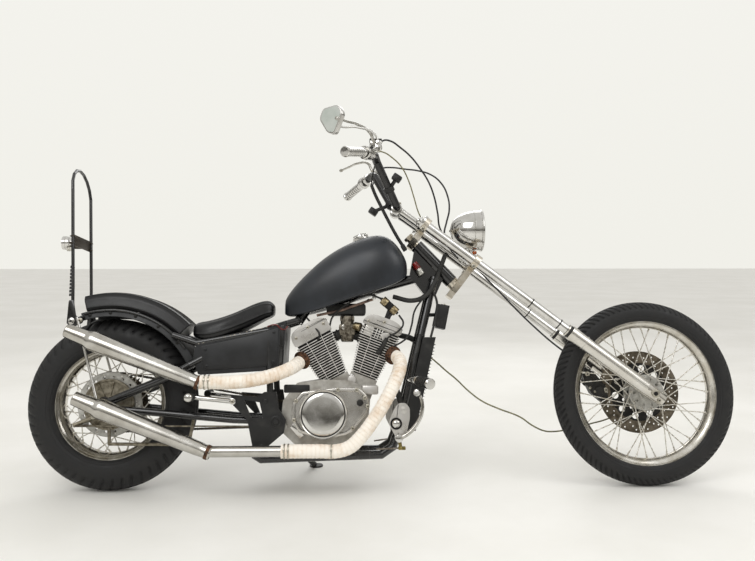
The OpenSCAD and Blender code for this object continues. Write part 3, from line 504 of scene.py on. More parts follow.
# Chrome with a film of road dust: warmer and less sharp.
dusty_chrome = material("dusty_chrome", "#cac6bd", 1.0, 0.18, 60, "#b3ad9f", "#dad7d0", (0.12, 0.3), 0.0, (0.3, 0.6))
# Zinc-coated spring steel: grey-gold, satin.
spoke_steel = material("zinc_spoke_steel", "#d6d3cb", 1.0, 0.26, 12, "#b9b3a6", "#e4e2dc", (0.2, 0.36))
# Die-cast aluminium, left as cast: pale grey, fine-grained, dull.
cast_alloy = material("die_cast_aluminium", "#bdbbb6", 1.0, 0.4, 18, "#a5a39d", "#cbcac5", (0.34, 0.52), 0.12,
    (0.35, 0.68), 8)
# Near black: painted shade in holes, bores, recesses and fin gaps, and the dark line of seams and split joints.
shade_and_seam_black = material("painted_shade_and_seam_black", "#0b0a09", 0.0, 0.9, 8, "#090808", "#171513", (0.8, 0.95))


def around(piece, centre, count, start=0.0, way=(0, 1, 0), span=360):
    """Copies of a piece about a line through centre, joined."""
    centre = Vector(centre)
    parts = [piece]
    for i in range(1, count):
        copy = piece.copy()
        copy.data = piece.data.copy()
        bpy.context.scene.collection.objects.link(copy)
        turn = Matrix.Rotation(math.radians(i * span / count), 4, Vector(way))
        copy.matrix_world = Matrix.Translation(centre) @ turn @ Matrix.Translation(-centre) @ piece.matrix_world
        parts.append(copy)
    bpy.context.view_layer.update()
    piece = joined(parts)
    if start:
        piece.matrix_world = (Matrix.Translation(centre) @ Matrix.Rotation(math.radians(start), 4,
            Vector(way)) @ Matrix.Translation(-centre) @ piece.matrix_world)
        joined([piece])
    return piece


def rim(name, body, node, axle, seat, half):
    profile = [(seat + 9, -half - 4), (seat + 10, -half - 2), (seat + 9, -half), (seat + 1, -half + 2),
        (seat - 2, -half + 8), (seat - 9, -half * 0.45), (seat - 11, 0), (seat - 9, half * 0.45),
        (seat - 2, half - 8), (seat + 1, half - 2), (seat + 9, half), (seat + 10, half + 2), (seat + 9, half + 4),
        (seat + 5, half + 4), (seat + 3, half + 1), (seat - 3, half - 3), (seat - 8, half - 8),
        (seat - 15, half * 0.42), (seat - 17, 0), (seat - 15, -half * 0.42), (seat - 8, -half + 8),
        (seat - 3, -half + 3), (seat + 3, -half - 1), (seat + 5, -half - 4)]
    hoop = dress(hollow(profile, 144, axle), dusty_chrome)
    fit(hoop, name, body, "chrome_plate", node)


def lacing(name, body, axle, rim_r, flanges):
    """Spokes with nipples: flanges are (side, hub radius, hub y), ten pairs a side."""
    parts = []
    for side, hub_r, hub_y in flanges:
        for lead, offset in ((58, 0), (-58, 18)):
            at = math.radians(offset + (9 if side > 0 else 0))
            hub = math.radians(math.degrees(at) + lead)
            tip = Vector((axle[0] + rim_r * math.cos(at), side * 6, axle[2] + rim_r * math.sin(at)))
            foot = Vector((axle[0] + hub_r * math.cos(hub), hub_y + (3 if lead > 0 else -3),
                axle[2] + hub_r * math.sin(hub)))
            way = (foot - tip).normalized()
            wire = rod(tip, foot, 2.0, sides=8)
            nipple = rod(tip, tip + 17 * way, 3.4, 3.0, 8)
            head = rod(foot - Vector((0, 5, 0)), foot + Vector((0, 5, 0)), 3.4, sides=8)
            spoke = dress([wire, nipple, head], spoke_steel)
            smooth(50)
            parts.append(around(spoke, axle, 10))
    fit(parts, name, body, "chrome_plate")


def drilled(piece, cutters):
    """Cut the joined cutters out of a piece."""
    cutter = joined(cutters)
    only(piece)
    cut = piece.modifiers.new("holes", "BOOLEAN")
    cut.operation = "DIFFERENCE"
    cut.solver = "EXACT"
    cut.object = cutter
    bpy.ops.object.modifier_apply(modifier=cut.name)
    bpy.data.objects.remove(cutter)
    smooth(38)
    return piece


def holes(axle, r, count, hole_r, y1, y2, start=0.0, sides=12):
    a = math.radians(start)
    one = rod((axle[0] + r * math.cos(a), y1, axle[2] + r * math.sin(a)), (axle[0] + r * math.cos(a), y2,
        axle[2] + r * math.sin(a)), hole_r, sides=sides)
    return around(one, axle, count)


rim("rim_front", "front_wheel", "front_wheel", front_axle, 263, 27)
lacing("spokes_front", "front_wheel", front_axle, 249, ((-1, 60, -32), (1, 60, 32)))
spool = turned([(0, -45), (27, -45), (30, -42), (30, -37), (66, -35.5), (68, -33), (68, -31), (66, -29), (34, -26),
    (27, -18), (25, 0), (27, 18), (34, 26), (66, 29), (68, 31), (68, 33), (66, 35.5), (30, 37), (30, 42), (27, 45),
    (0, 45)], 96, front_axle)
spool = drilled(spool, [holes(front_axle, 48, 10, 6, -50, 50), holes(front_axle, 60, 20, 2.2, -50, 50, 5, 8)])
fit(dress(spool, cast_alloy), "hub_front", "front_wheel", "cast_aluminium")

rim("rim_rear", "rear_wheel", "rear_wheel", tuple(rear_axle), 196, 45)
lacing("spokes_rear", "rear_wheel", tuple(rear_axle), 182, ((-1, 109, -50), (1, 58, 42)))
drum = turned([(0, -50), (88, -50), (90, -55), (117, -55), (119, -52), (119, -49), (117, -46), (92, -44), (84, -36),
    (62, -30), (48, -10), (48, 20), (56, 34), (65, 38), (67, 41), (66, 45), (0, 46)], 96, rear_axle)
drum = drilled(drum, [holes(rear_axle, 100, 18, 5, -60, -40, 4)])
fit(dress(drum, cast_alloy), "hub_rear", "rear_wheel", "cast_aluminium")

# ---------------------------------------------------------------- front brake
# Stainless disc ring drilled in rows, riveted to a dark carrier on the hub,
# gripped by a black cast caliper on the left slider.
# Ground stainless steel: warm grey, with fine rings from the pads.
disc_steel = material("ground_disc_steel", "#6e665a", 1.0, 0.36, 30, "#5a5348", "#857c6e", (0.28, 0.45), 0.05)
# Black-anodised aluminium: soft sheen, dusty.
black_anodised = material("black_anodised", "#1c1b1a", 0.3, 0.45, 22, "#141413", "#2c2a27", (0.36, 0.6), 0.06)

ring = hollow([(112, -2.5), (157.5, -2.5), (158, -2), (158, 2), (157.5, 2.5), (112, 2.5)], 96,
    (front_x, 52.5, front_z))
ring = drilled(ring, [holes(front_axle, r, 20, 3.4, 44, 62, s) for r, s in ((122, 0), (134, 6), (146, 12))])
carrier = hollow([(29, -17), (44, -17), (46, 0), (116, 0), (118, 3), (44, 4), (29, 4)], 72, (front_x, 52.5, front_z))
carrier = drilled(carrier, [holes(front_axle, 92, 10, 13, 40, 62, 8, 24), holes(front_axle, 66, 10, 6, 40, 62, 26)])
rivets = around(pin(1, (1109.5, 48, front_z), (1109.5, 58, front_z), 6, sides=16), front_axle, 10)
fit(dress(ring, disc_steel), "disc_front", "front_wheel", "dark_steel", "front_disc")
fit(dress(carrier, black_anodised), "disc_carrier_front", "front_wheel", "dark_steel")
fit(dress(rivets, disc_steel), "disc_rivets_front", "front_wheel", "dark_steel")


def bolt(at, way, r, tall, finish, socket=True):
    """Screw with a domed, washered head; a hexagon or a socket in it."""
    at, way = Vector(at), Vector(way).normalized()
    washer = rod(at, at + tall * 0.3 * way, r * 1.35, sides=20)
    head = rod(at + tall * 0.3 * way, at + tall * way, r, r * 0.9, 20 if socket else 6)
    parts = [soften(washer, 0.3), soften(head, 0.5)]
    if socket:
        # The socket is a thin near-black disc on the head: painted shade for the hole.
        well = rod(at + tall * 0.97 * way, at + (tall + 0.3) * way, r * 0.5, sides=6)
        parts.append(dress(well, shade_and_seam_black))
        dress(parts[0], finish)
        dress(parts[1], finish)
        return joined(parts)
    return dress(parts, finish)


# Bolt steel: plated, a little yellowed.
plated_bolt = material("yellow_plated_steel", "#b9b4a6", 1.0, 0.3, 5, "#9f998a", "#cdc9bd", (0.26, 0.48))
carried(black_anodised, "front_caliper")


def fork_spot(d, s, y):
    """Place d up the fork line from the axle and s behind it."""
    slope = math.atan2(996 - front_z, front_x - 136)
    return Vector((front_x - d * math.cos(slope) - s * math.sin(slope), y,
        front_z + d * math.sin(slope) - s * math.cos(slope)))


parts = [bolt(fork_spot(d, s, 74), (0, 1, 0), 7, 9, plated_bolt) for d, s in ((205, 62), (112, 62), (150, 104),
    (180, 96))]
parts += [bolt(fork_spot(d, s, 36), (0, -1, 0), 7, 5, plated_bolt) for d, s in ((205, 66), (112, 74))]
fit(parts, "caliper_bolts", "fork", "dark_steel")

# ---------------------------------------------------------------- chain drive
# Hardened steel sprocket with five lightening holes and a roller chain,
# oiled and dusty, on the machine's left.
# Oiled carbon steel: brown-black, greasy, brighter where the rollers rub.
oiled_steel = material("oiled_chain_steel", "#2f2b25", 0.9, 0.42, 6, "#1f1c18", "#5a5145", (0.3, 0.55), 0.05)

pitch = 15.875
wheel_r = 44 * pitch / math.tau
plate = turned([(0, -3.4), (wheel_r - 6, -3.4), (wheel_r - 6, 3.4), (0, 3.4)], 88, (rear_x, 83, rear_z))
tooth = rod((rear_x + wheel_r - 8, 83, rear_z), (rear_x + wheel_r + 3, 83, rear_z), 4.6, 2.0, 6)
plate = joined([plate, around(tooth, rear_axle, 44, 360 / 88)])
plate = drilled(plate, [holes(rear_axle, 72, 5, 20, 70, 96, 10, 28), holes(rear_axle, 36, 5, 5, 70, 96, 46)])
hub = turned([(22, -36), (55, -36), (55, 2), (50, 5), (22, 5), (22, -36)], 64, (rear_x, 83, rear_z))
fit(dress([plate, hub], oiled_steel), "sprocket_rear", "rear_wheel", "dark_steel", "rear_sprocket")

front_c, front_r = Vector((-330, 83, 265)), 40.0
rear_c, rear_r = Vector((rear_x, 83, rear_z)), wheel_r
span = front_c - rear_c
slope = math.atan2(span.z, span.x)
lift = math.acos((rear_r - front_r) / math.hypot(span.x, span.z))
run = math.hypot(span.x, span.z) * math.sin(lift)
back_arc, front_arc = rear_r * (math.tau - 2 * lift), front_r * 2 * lift
loop = 2 * run + back_arc + front_arc
count = 2 * round(loop / pitch / 2)


def chain_spot(s):
    """Point and direction at s along the loop."""
    def on(c, r, a):
        return c + Vector((r * math.cos(a), 0, r * math.sin(a)))
    if s < back_arc:
        a = slope + lift + s / rear_r
        return on(rear_c, rear_r, a), a + math.pi / 2
    s -= back_arc
    low = slope - lift
    if s < run:
        return on(rear_c, rear_r, low).lerp(on(front_c, front_r, low), s / run), low + math.pi / 2
    s -= run
    if s < front_arc:
        return on(front_c, front_r, low + s / front_r), low + s / front_r + math.pi / 2
    s -= front_arc
    high = slope + lift
    return on(front_c, front_r, high).lerp(on(rear_c, rear_r, high), s / run), high + math.pi / 2


def link(wide):
    """Two side plates and a roller, lying along +X."""
    parts = []
    for y in (-wide, wide):
        for x in (-pitch / 2, pitch / 2):
            parts.append(rod((x, y - 0.8, 0), (x, y + 0.8, 0), 4.6, sides=10))
        waist = rod((0, y - 0.8, 0), (0, y + 0.8, 0), 5.6, sides=4)
        waist.scale = (1.0, 1.0, 0.55)
        parts.append(waist)
    parts.append(rod((pitch / 2, -wide, 0), (pitch / 2, wide, 0), 3.6, sides=8))
    return joined(parts)


kinds = [link(4.2), link(6.2)]
links = []
for i in range(count):
    spot, a = chain_spot(i * loop / count)
    copy = kinds[i % 2].copy()
    copy.data = kinds[i % 2].data.copy()
    bpy.context.scene.collection.objects.link(copy)
    copy.matrix_world = Matrix.Translation(spot) @ Matrix.Rotation(-a, 4, "Y")
    links.append(copy)
for kind in kinds:
    bpy.data.objects.remove(kind)
bpy.context.view_layer.update()
fit(dress(links, oiled_steel), "roller_chain", "frame", "dark_steel", "drive_chain")

# ---------------------------------------------------------------- frame
# Steel tube frame: backbone, seat rails, split down tubes and cradle rails,
# brazed and welded to cast pivot plates, with a welded swingarm behind.
# Gloss enamel on steel: deep black with a hard clear sheen, dusty on top.
gloss_black = material("gloss_black_enamel", "#0c0c0d", 0.0, 0.16, 55, "#0a0a0b", "#211f1c", (0.12, 0.36), 0.06,
    (0.55, 0.8), 6, Coat_Weight=0.6, Coat_Roughness=0.08)
# Satin stove enamel: black that greys where dust and hands wear it.
satin_black = material("satin_stove_enamel", "#131313", 0.0, 0.42, 40, "#101010", "#2a2926", (0.34, 0.55), 0.08,
    (0.5, 0.8), 7)
# Ground and turned steel left bare: dark grey, thinly rusted.
bare_steel = material("bare_steel", "#77716a", 1.0, 0.4, 16, "#55493c", "#938d85", (0.3, 0.55), 0.06)
carried(gloss_black, "frame_top", "down_tubes", "lower_rails", "swingarm")
carried(satin_black, "pivot_plates")
carried(bare_steel, "rear_axle")


def box(centre, size, edge=1.5, turn=0):
    """Block with broken edges, turned about the Y line through its centre."""
    clear()
    bpy.ops.mesh.primitive_cube_add(size=1, location=centre, rotation=(0, math.radians(turn), 0))
    bpy.context.object.scale = size
    return soften(bpy.context.object, edge, segments=2) if edge else joined([bpy.context.object])


def weld(a, way, r, size=2.6):
    """Bead of weld round a tube."""
    clear()
    piece = torus(r, size, 40, a, way)
    bpy.ops.object.shade_smooth()
    return piece


beads = []
for side in (-1, 1):
    beads += [weld((190 - 4, side * 35.3, 780), (18, side * -6.7, 63), 16.5), weld((-402, side * 104, 256), (0, 1, 0),
        15.5), weld((-330, side * 50, 626), (-52, side * 20, -16), 12.5)]
    cap = lathe([(0, -5), (21, -5), (22, -3), (22, 2), (17, 3), (16, 0), (10, 0), (9, 3), (0, 4)], 40)
    beads.append(aim(cap, (-402, side * 141, 256), (0, side, 0)))
    beads += [bolt((x, side * 139.5, z), (0, side, 0), 6, 6, plated_bolt) for x, z in ((-440, 330), (-452, 170))]
fit(dress(beads, satin_black), "frame_beads", "frame", "gloss_black_paint")
axle_nuts = []
for side in (-1, 1):
    axle_nuts += [rod((rear_x, side * 121, rear_z), (rear_x, side * 134, rear_z), 15.5, 14.5, 6),
        rod((rear_x, side * 119, rear_z), (rear_x, side * 121.5, rear_z), 19, 19, 32)]
fit(dress(soften(joined(axle_nuts), 0.8), plated_bolt), "rear_axle_nuts", "frame", "dark_steel")

# ---------------------------------------------------------------- engine
# Air-cooled V-twin: die-cast case, bright side covers, finned barrels and
# smooth head covers, bolted down through the cylinders.
# Case casting, bead-blasted and stained: middle grey, oily in the corners.
case_alloy = material("blasted_case_alloy", "#b4b1ab", 0.65, 0.34, 40, "#9a958d", "#c3c1bb", (0.3, 0.5), 0.08,
    (0.3, 0.65), 6)
# Buffed cover alloy under thin lacquer: soft bright grey, faintly streaked.
buffed_alloy = material("buffed_cover_alloy", "#d0cec9", 0.85, 0.16, 110, "#c4c1ba", "#dbd9d5", (0.13, 0.26), 0.0,
    (0.35, 0.7), 3)
# Silver-painted casting: even satin silver, mottled by heat.
silver_paint = material("silver_engine_paint", "#c6c4c0", 0.6, 0.28, 60, "#bbb8b2", "#d0cecb", (0.24, 0.4), 0.03,
    (0.35, 0.7), 4)
# Fin faces: silver where polished; the dark between them is painted shade on the near-black barrel core.
fin_alloy = material("polished_fin_alloy", "#dedcd8", 0.6, 0.34, 14, "#c9c6c0", "#e9e7e3", (0.25, 0.45), 0.05)
carried(case_alloy, "crankcase")


def slab(outline, y1, y2, corner=0.0, edge=1.5, segments=2):
    """Plate cut to an (x, z) outline with rounded corners and broken edges."""
    piece = drawn([(x, y1, z) for x, z in outline], True)
    if corner:
        bpy.ops.mesh.bevel(offset=corner, segments=5, affect="VERTICES")
        pick("SELECT")
    bpy.ops.mesh.extrude_region_move(TRANSFORM_OT_translate={"value": (0, y2 - y1, 0)})
    pick("SELECT")
    face_out()
    mode("OBJECT")
    return soften(piece, edge, 50, segments) if edge else piece


def sunk(piece, way, rim_w, depth):
    """Sink the flat face that looks along way, leaving a raised rim."""
    only(piece)
    way = Vector(way)
    mode("EDIT")
    bpy.ops.mesh.select_mode(type="FACE")
    pick("DESELECT")
    mode("OBJECT")
    faces = [f for f in piece.data.polygons if f.normal.dot(way) > 0.98]
    max(faces, key=lambda f: f.area).select = True
    mode("EDIT")
    bpy.ops.mesh.inset(thickness=rim_w, depth=0)
    bpy.ops.mesh.inset(thickness=abs(depth) * 0.8, depth=-depth)
    mode("OBJECT")
    smooth(40)
    return piece


def column(tilt, smooth_from):
    """One cylinder: barrel, fins, head and cover, built upright then tilted."""
    place = Matrix.Translation((-130, 0, 290)) @ Matrix.Rotation(math.radians(tilt), 4, "Y")
    core = slab([(-48, 134), (48, 134), (70, smooth_from + 6), (-70, smooth_from + 6)], -60, 60, 12, 2)
    fins = []
    count = int((smooth_from - 140) / 9.4)
    for i in range(count):
        z = 141 + i * 9.4
        w = 52 + 24 * min(1, max(0, (z - 135) / 150))
        fin = slab([(-w, -1.5), (w, -1.5), (w, 1.5), (-w, 1.5)], -66, 66, 0, 0)
        only(fin)
        mode("EDIT")
        bpy.ops.mesh.select_mode(type="EDGE")
        pick("DESELECT")
        mode("OBJECT")
        for edge in fin.data.edges:
            a, b = (fin.data.vertices[k].co for k in edge.vertices)
            edge.select = abs(a.z - b.z) > 1
        mode("EDIT")
        bpy.ops.mesh.bevel(offset=13, segments=5, affect="EDGES")
        mode("OBJECT")
        fin.location.z = z
        fins.append(soften(fin, 0.5, 40, 1))
    ribs = [slab([(s * 22 - 1, 140), (s * 22 + 1, 140), (s * 30 + 1, smooth_from), (s * 30 - 1, smooth_from)], -65.4,
        65.4, 0, 0.4, 1) for s in (-1, 1)]
    fins = dress(fins + ribs, fin_alloy)
    foot = 323 if smooth_from > 310 else smooth_from
    cover = slab([(-77, foot), (76, foot), (76, 342), (66, 357), (38, 367), (-36, 367), (-66, 356), (-77, 338)],
        -65.5, 65.5, 10, 9, 5)
    skirt = slab([(-30, 346.5), (75.4, 346.5), (75.4, 348), (-30, 348)], -65.9, 65.9, 0, 0)
    parts = [core, fins]
    # The barrel core shows between the fins in near black: painted shade in the fin gaps.
    dress(core, shade_and_seam_black)
    if smooth_from > 310:
        head = box((0, 0, (smooth_from + 322) / 2), (138, 122, 322 - smooth_from + 8), 3)
        tower = box((-46, -40, 300), (34, 46, 40), 5)
        teeth = [box((-16 + 11 * k, -60, 302), (3, 11, 34), 0.8) for k in range(3)]
        boss = rod((24, -66, 300), (20, -42, 300), 17, 15, 24)
        parts += [dress(soften(tower, 1), silver_paint), dress(teeth, fin_alloy), dress(soften(boss, 2),
            silver_paint), dress(head, case_alloy)]
    parts.append(dress(skirt, shade_and_seam_black))
    parts.append(dress(cover, silver_paint))
    for x, z in ((-58, 334), (58, 334), (0, 350)):
        parts.append(bolt((x, -65, z), (0, -1, 0), 4.6, 5, plated_bolt))
        parts.append(bolt((x, 65, z), (0, 1, 0), 4.6, 5, plated_bolt))
    for x in (-58, 58):
        parts.append(bolt((x * 0.78, -40, 367 - 8), (0, 0, 1), 5, 6, plated_bolt, False))
    piece = joined(parts)
    piece.matrix_world = place @ piece.matrix_world
    joined([piece])
    return piece


fit([column(-28, 302), column(21, 322)], "finned_cylinders", "frame", "cast_aluminium", "cylinders")

right = slab([(-188, 376), (-102, 376), (-72, 348), (-62, 310), (-72, 286), (-123, 221), (-150, 206), (-237, 190),
    (-320, 218), (-345, 262), (-345, 320), (-310, 362)], -105.3, -147.3, 9, 5, 4)
right = dress(sunk(right, (0, -1, 0), 6, 3.5), buffed_alloy)
clutch_face = (-231, -149, 282), (0, -1, 0)
# A near-black disc under the clutch cover's rim: painted shadow round the cover.
base = dress(pin(1.5, (-231, -143, 282), (-231, -149, 282), 88, 86, 96), shade_and_seam_black)
lip = hollow([(81, -3), (87.5, -3), (88, 4), (85, 9), (81, 6)], 96, *clutch_face)
groove = dress(hollow([(76.5, -3), (81.5, -3), (81.5, 4), (76.5, 5)], 96, *clutch_face), black_anodised)
dome = turned([(0, 10.0), (30, 9.7), (60, 8.6), (74, 7.4), (76.5, 5.5), (76.5, -3), (0, -3)], 96, *clutch_face)
case_bolts = [bolt((x, -146, z), (0, -1, 0), 5.4, 6, plated_bolt) for x, z in ((-178, 369), (-110, 368), (-80, 340),
    (-70, 310), (-124, 232), (-330, 330), (-336, 262))]
ribbed = [slab([(-352, 236), (-336, 252), (-300, 206), (-316, 196)], -112 - 8 * k, -108 - 8 * k, 3,
    1) for k in range(4)]
oil_cap = dress(pin(1.5, (-98, -146, 322), (-98, -153, 322), 13, 11.5, 12), black_anodised)
lug = dress(pin(2.5, (-128, -70, 416), (-128, -84, 416), 11, 8, 24), chrome)
left = slab([(-188, 376), (-102, 376), (-72, 348), (-62, 310), (-72, 250), (-123, 205), (-290, 196), (-350, 214),
    (-362, 262), (-350, 318), (-300, 350)], 147.3, 105.3, 9, 5, 4)
left = dress(sunk(left, (0, 1, 0), 6, 3), silver_paint)
alternator = turned([(0, 12), (40, 11.8), (62, 9.6), (71, 5), (75, 0), (75, -4), (0, -4)], 72, (-150, 147.3, 290))
left_bolts = [bolt((x, 146, z), (0, 1, 0), 5.4, 6, plated_bolt) for x, z in ((-178, 369), (-110, 368), (-78, 340),
    (-80, 244), (-200, 204), (-290, 204), (-346, 300), (-250, 352))]
covers = [right, base, dress(lip, buffed_alloy), groove, dress(dome, chrome), dress(ribbed, chrome), oil_cap, lug,
    left, dress(alternator, chrome)] + case_bolts + left_bolts
fit(covers, "engine_side_covers", "frame", "cast_aluminium", "engine_covers")

# Breather box, dipstick and drive housing between the covers, cast or pressed.
fill = [dress(box((-330, -96, 372), (96, 24, 30), 5), satin_black), dress(box((-60, -84, 366), (60, 40, 34), 6),
    silver_paint), dress(pin(2, (-128, -60, 404), (-128, -96, 404), 17, 15, 28), silver_paint)]
fit(fill, "case_details", "frame", "cast_aluminium")

# ---------------------------------------------------------------- exhaust
# Two steel pipes wound in glass-fibre tape, tied with steel straps, into
# chromed reverse-cone mufflers; the lower pipe is bare ahead of its muffler.
# Woven glass-fibre tape: cream, scorched and stained in patches.
wrap_tape = material("glass_fibre_tape", "#efe5d6", 0.0, 0.9, 75, "#d8bfa2", "#f6efe4", (0.8, 0.95), 0.0, (0.3, 0.55),
    pits=(2.4, 0.7, 0.0006))
# Mild-steel flange and strap: brown rust over dark scale.
rusty_steel = material("rusted_mild_steel", "#5a4032", 0.6, 0.7, 12, "#3a2c24", "#7d5a43", (0.55, 0.85), 0.3)
# Thin chrome over brushed steel: satin, with a warm cast.
satin_chrome = material("satin_chrome", "#c2bfb9", 1.0, 0.2, 90, "#aaa69e", "#d3d1cc", (0.14, 0.3), 0.0, (0.3, 0.7))


def along(maker, points):
    """Make a straight piece on +X and bend it along a smooth line through the points."""
    guide, line = curve("route", points, 24)
    piece = only(maker(line.calc_length()))
    bend = piece.modifiers.new("bend", "CURVE")
    bend.object = guide
    bend.deform_axis = "POS_X"
    bpy.ops.object.modifier_apply(modifier=bend.name)
    bpy.data.objects.remove(guide)
    return piece


def pipe(profile_at, sides=40):
    """Maker of a straight tube on +X from a function of its length."""
    def make(length):
        return turned(profile_at(length), sides, (0, 0, 0), (1, 0, 0))
    return make


def taped(length, r=24.7, pitch=15.5):
    profile, h = [(r - 4, 0), (r - 1, 0)], 0.5
    while h < length - pitch:
        profile += [(r - 1.6, h), (r - 0.3, h + 2.0), (r - 0.6, h + 5), (r, h + 8), (r - 0.2, h + 11),
            (r + 0.8, h + pitch - 0.8)]
        h += pitch
    return profile + [(r - 0.9, h + 0.2), (r, length - 0.5), (r - 4, length)]


def plain(r):
    return lambda length: [(r - 2, 0), (r, 0.3)] + [(r, length * k / 40) for k in range(1, 40)] + [(r, length - 0.3),
        (r - 2, length)]


rear_run = [(-322, -60, 470), (-356, -140, 444), (-404, -160, 425), (-452, -171, 412), (-545, -172, 399),
    (-676, -172, 399)]
front_run = [(36, -62, 490), (48, -90, 478), (48, -134, 446), (34, -164, 410), (4, -183, 350), (-45, -185, 270),
    (-102, -185, 198), (-135, -185, 170), (-180, -185, 156), (-240, -185, 156), (-378, -185, 156.5)]
tapes = [along(pipe(taped), rear_run), along(pipe(taped), front_run)]
bare = along(pipe(plain(19.5)), [(-372, -185, 156.5), (-450, -185, 157), (-540, -185, 157), (-648, -185, 157)])
straps = []
for x, y, z in ((-352, -185, 156), (-366, -185, 156), (-200, -185, 156), (-640, -172, 399), (-655, -172, 399)):
    strap = hollow([(25.2, -2.4), (26.8, -2.4), (26.8, 2.4), (25.2, 2.4)], 40, (x, y, z), (1, 0, 0))
    straps += [strap, box((x, y - 26, z + 6), (7, 4, 7), 1)]
flanges = []
for at, way in (((30, -64, 492), Vector((40, -60, -14))), ((-318, -62, 474), Vector((-45, -60, -32)))):
    way.normalize()
    at = Vector(at)
    flanges.append(hollow([(17, -9), (34, -9), (35, -7), (35, -2), (28, 0), (28, 6), (24, 8), (17, 8)], 40, at, way))
    side = way.cross(Vector((0, 0, 1))).normalized()
    flanges += [rod(at + s * 29 * side - 12 * way, at + s * 29 * side + 8 * way, 5.5, sides=6) for s in (-1, 1)]
parts = [dress(t, wrap_tape) for t in tapes] + [dress(bare, satin_chrome), dress(straps, plated_bolt),
    dress(flanges, rusty_steel)]
fit(parts, "wrapped_pipes", "frame", "exhaust_wrap", "exhaust_pipes")

cones = []
for front, tip in (((-683.5, -172, 399), (-1160, -173, 587)), ((-640.5, -185, 157), (-1104, -186, 342))):
    way = Vector(tip) - Vector(front)
    shell = hollow([(20, -16), (24.2, -16), (24.6, -14), (24.4, 6), (23.6, 8), (25.2, 30), (28.8, 140), (32.6, 270),
        (36.0, 396), (36.6, 403), (36.5, 409), (35.4, 414), (31.4, 424), (30.2, 428), (29.6, 432), (25.0, 503),
        (25.3, 507), (24.4, 508.5), (22.8, 507), (27, 430), (22, 300), (20, 100)], 64)
    # The cone's mouth is lined in near black: the outlet's real soot, and painted shade inside it.
    inside = lathe([(0, 436), (22, 436), (26.6, 438), (22.6, 506.5), (22.3, 506.5), (21.7, 444), (0, 440)], 48)
    band = hollow([(24.2, -10), (26.6, -10), (26.6, 2), (24.2, 2)], 48)
    lug = box((26.5, 0, -4), (8, 14, 12), 1.5)
    parts = [dress(shell, satin_chrome), dress(inside, shade_and_seam_black), dress([band, lug], rusty_steel)]
    cones.append(aim(joined(parts), front, way))
fit(cones, "cone_mufflers", "frame", "chrome_plate", "mufflers")

# ---------------------------------------------------------------- fuel and ignition
# Two carburettors in the vee under an air box, with rubber stubs, fuel hose,
# ignition coil and the plugs' leads.
# Die-cast zinc body: grey-brown, fuel-stained.
carb_zinc = material("stained_zinc_casting", "#6f675c", 0.9, 0.42, 14, "#403930", "#8f887b", (0.34, 0.6), 0.12)
# Moulded rubber parts: charcoal, chalky at the edges.
moulded_rubber = material("moulded_black_rubber", "#161615", 0.0, 0.62, 18, "#121211", "#2b2a27", (0.5, 0.75), 0.1)
# Aged fuel hose: brown, matt.
fuel_hose = material("aged_fuel_hose", "#6a5347", 0.0, 0.6, 22, "#4f3e36", "#8a7263", (0.5, 0.7), 0.05)
# Bronze-toned passivated steel, worn on its edges.
bronze_can = material("passivated_steel_can", "#9a8a68", 1.0, 0.3, 12, "#6f6148", "#b8aa8a", (0.24, 0.44), 0.04)

body_parts = [box((-146, 0, 590), (62, 112, 44), 8), box((-146, 0, 632), (54, 100, 22), 5)]
for y in (-36, 36):
    body_parts += [pin(3, (-146, y, 546), (-146, y, 572), 23, 27, 28), pin(3, (-146, y, 570), (-146, y, 642), 25, 25,
        32)]
domes = [pin(3, (-158, y * 1.0, 600), (-158, y * 1.62, 600), 15, 11, 24) for y in (-36, 36)]
stubs = []
for x, z, a in ((-196, 566, 1), (-92, 562, -1)):
    for y in (-14, 14):
        stubs.append(pin(2, (-146, y * 1.4, 584), (x, y, z), 19, 18, 24))
        stubs.append(rod((x + a * 14, y * 1.1, z + 5), (x + a * 8, y * 1.1, z + 4), 21.5, sides=24))
air_box = box((-150, 0, 668), (150, 92, 44), 10)
horn = pin(2, (-120, -52, 606), (-96, -62, 598), 14, 17, 24)
pipes = [along(pipe(plain(5)), [(-262, -46, 644), (-224, -50, 652), (-184, -52, 660), (-110, -50, 684),
    (-47, -44, 706)]), along(pipe(plain(4)), [(-200, 52, 650), (-150, 60, 662), (-96, 56, 690), (-60, 40, 712)])]
tab = slab([(-52, 704), (-36, 704), (-34, 730), (-50, 730)], -58, -61, 3, 0.6)
# The tab's hole is a near-black disc: painted shade.
tab_hole = dress(rod((-43, -62, 721), (-43, -60, 721), 4, sides=16), shade_and_seam_black)
parts = [dress(body_parts, carb_zinc), dress(domes, satin_chrome), dress(stubs + [air_box], moulded_rubber),
    dress(horn, bronze_can), dress(pipes, fuel_hose), dress(tab, chrome), tab_hole]
fit(parts, "carburettor_pair", "frame", "cast_aluminium", "carburettors")

coil_axis = Vector((56, 0, -52)).normalized()
mid = Vector((14, -70, 678))
can = [pin(1.5, mid - 36 * coil_axis, mid - 12 * coil_axis, 16.5, sides=40), pin(1.5, mid + 12 * coil_axis,
    mid + 37 * coil_axis, 16.5, sides=40)]
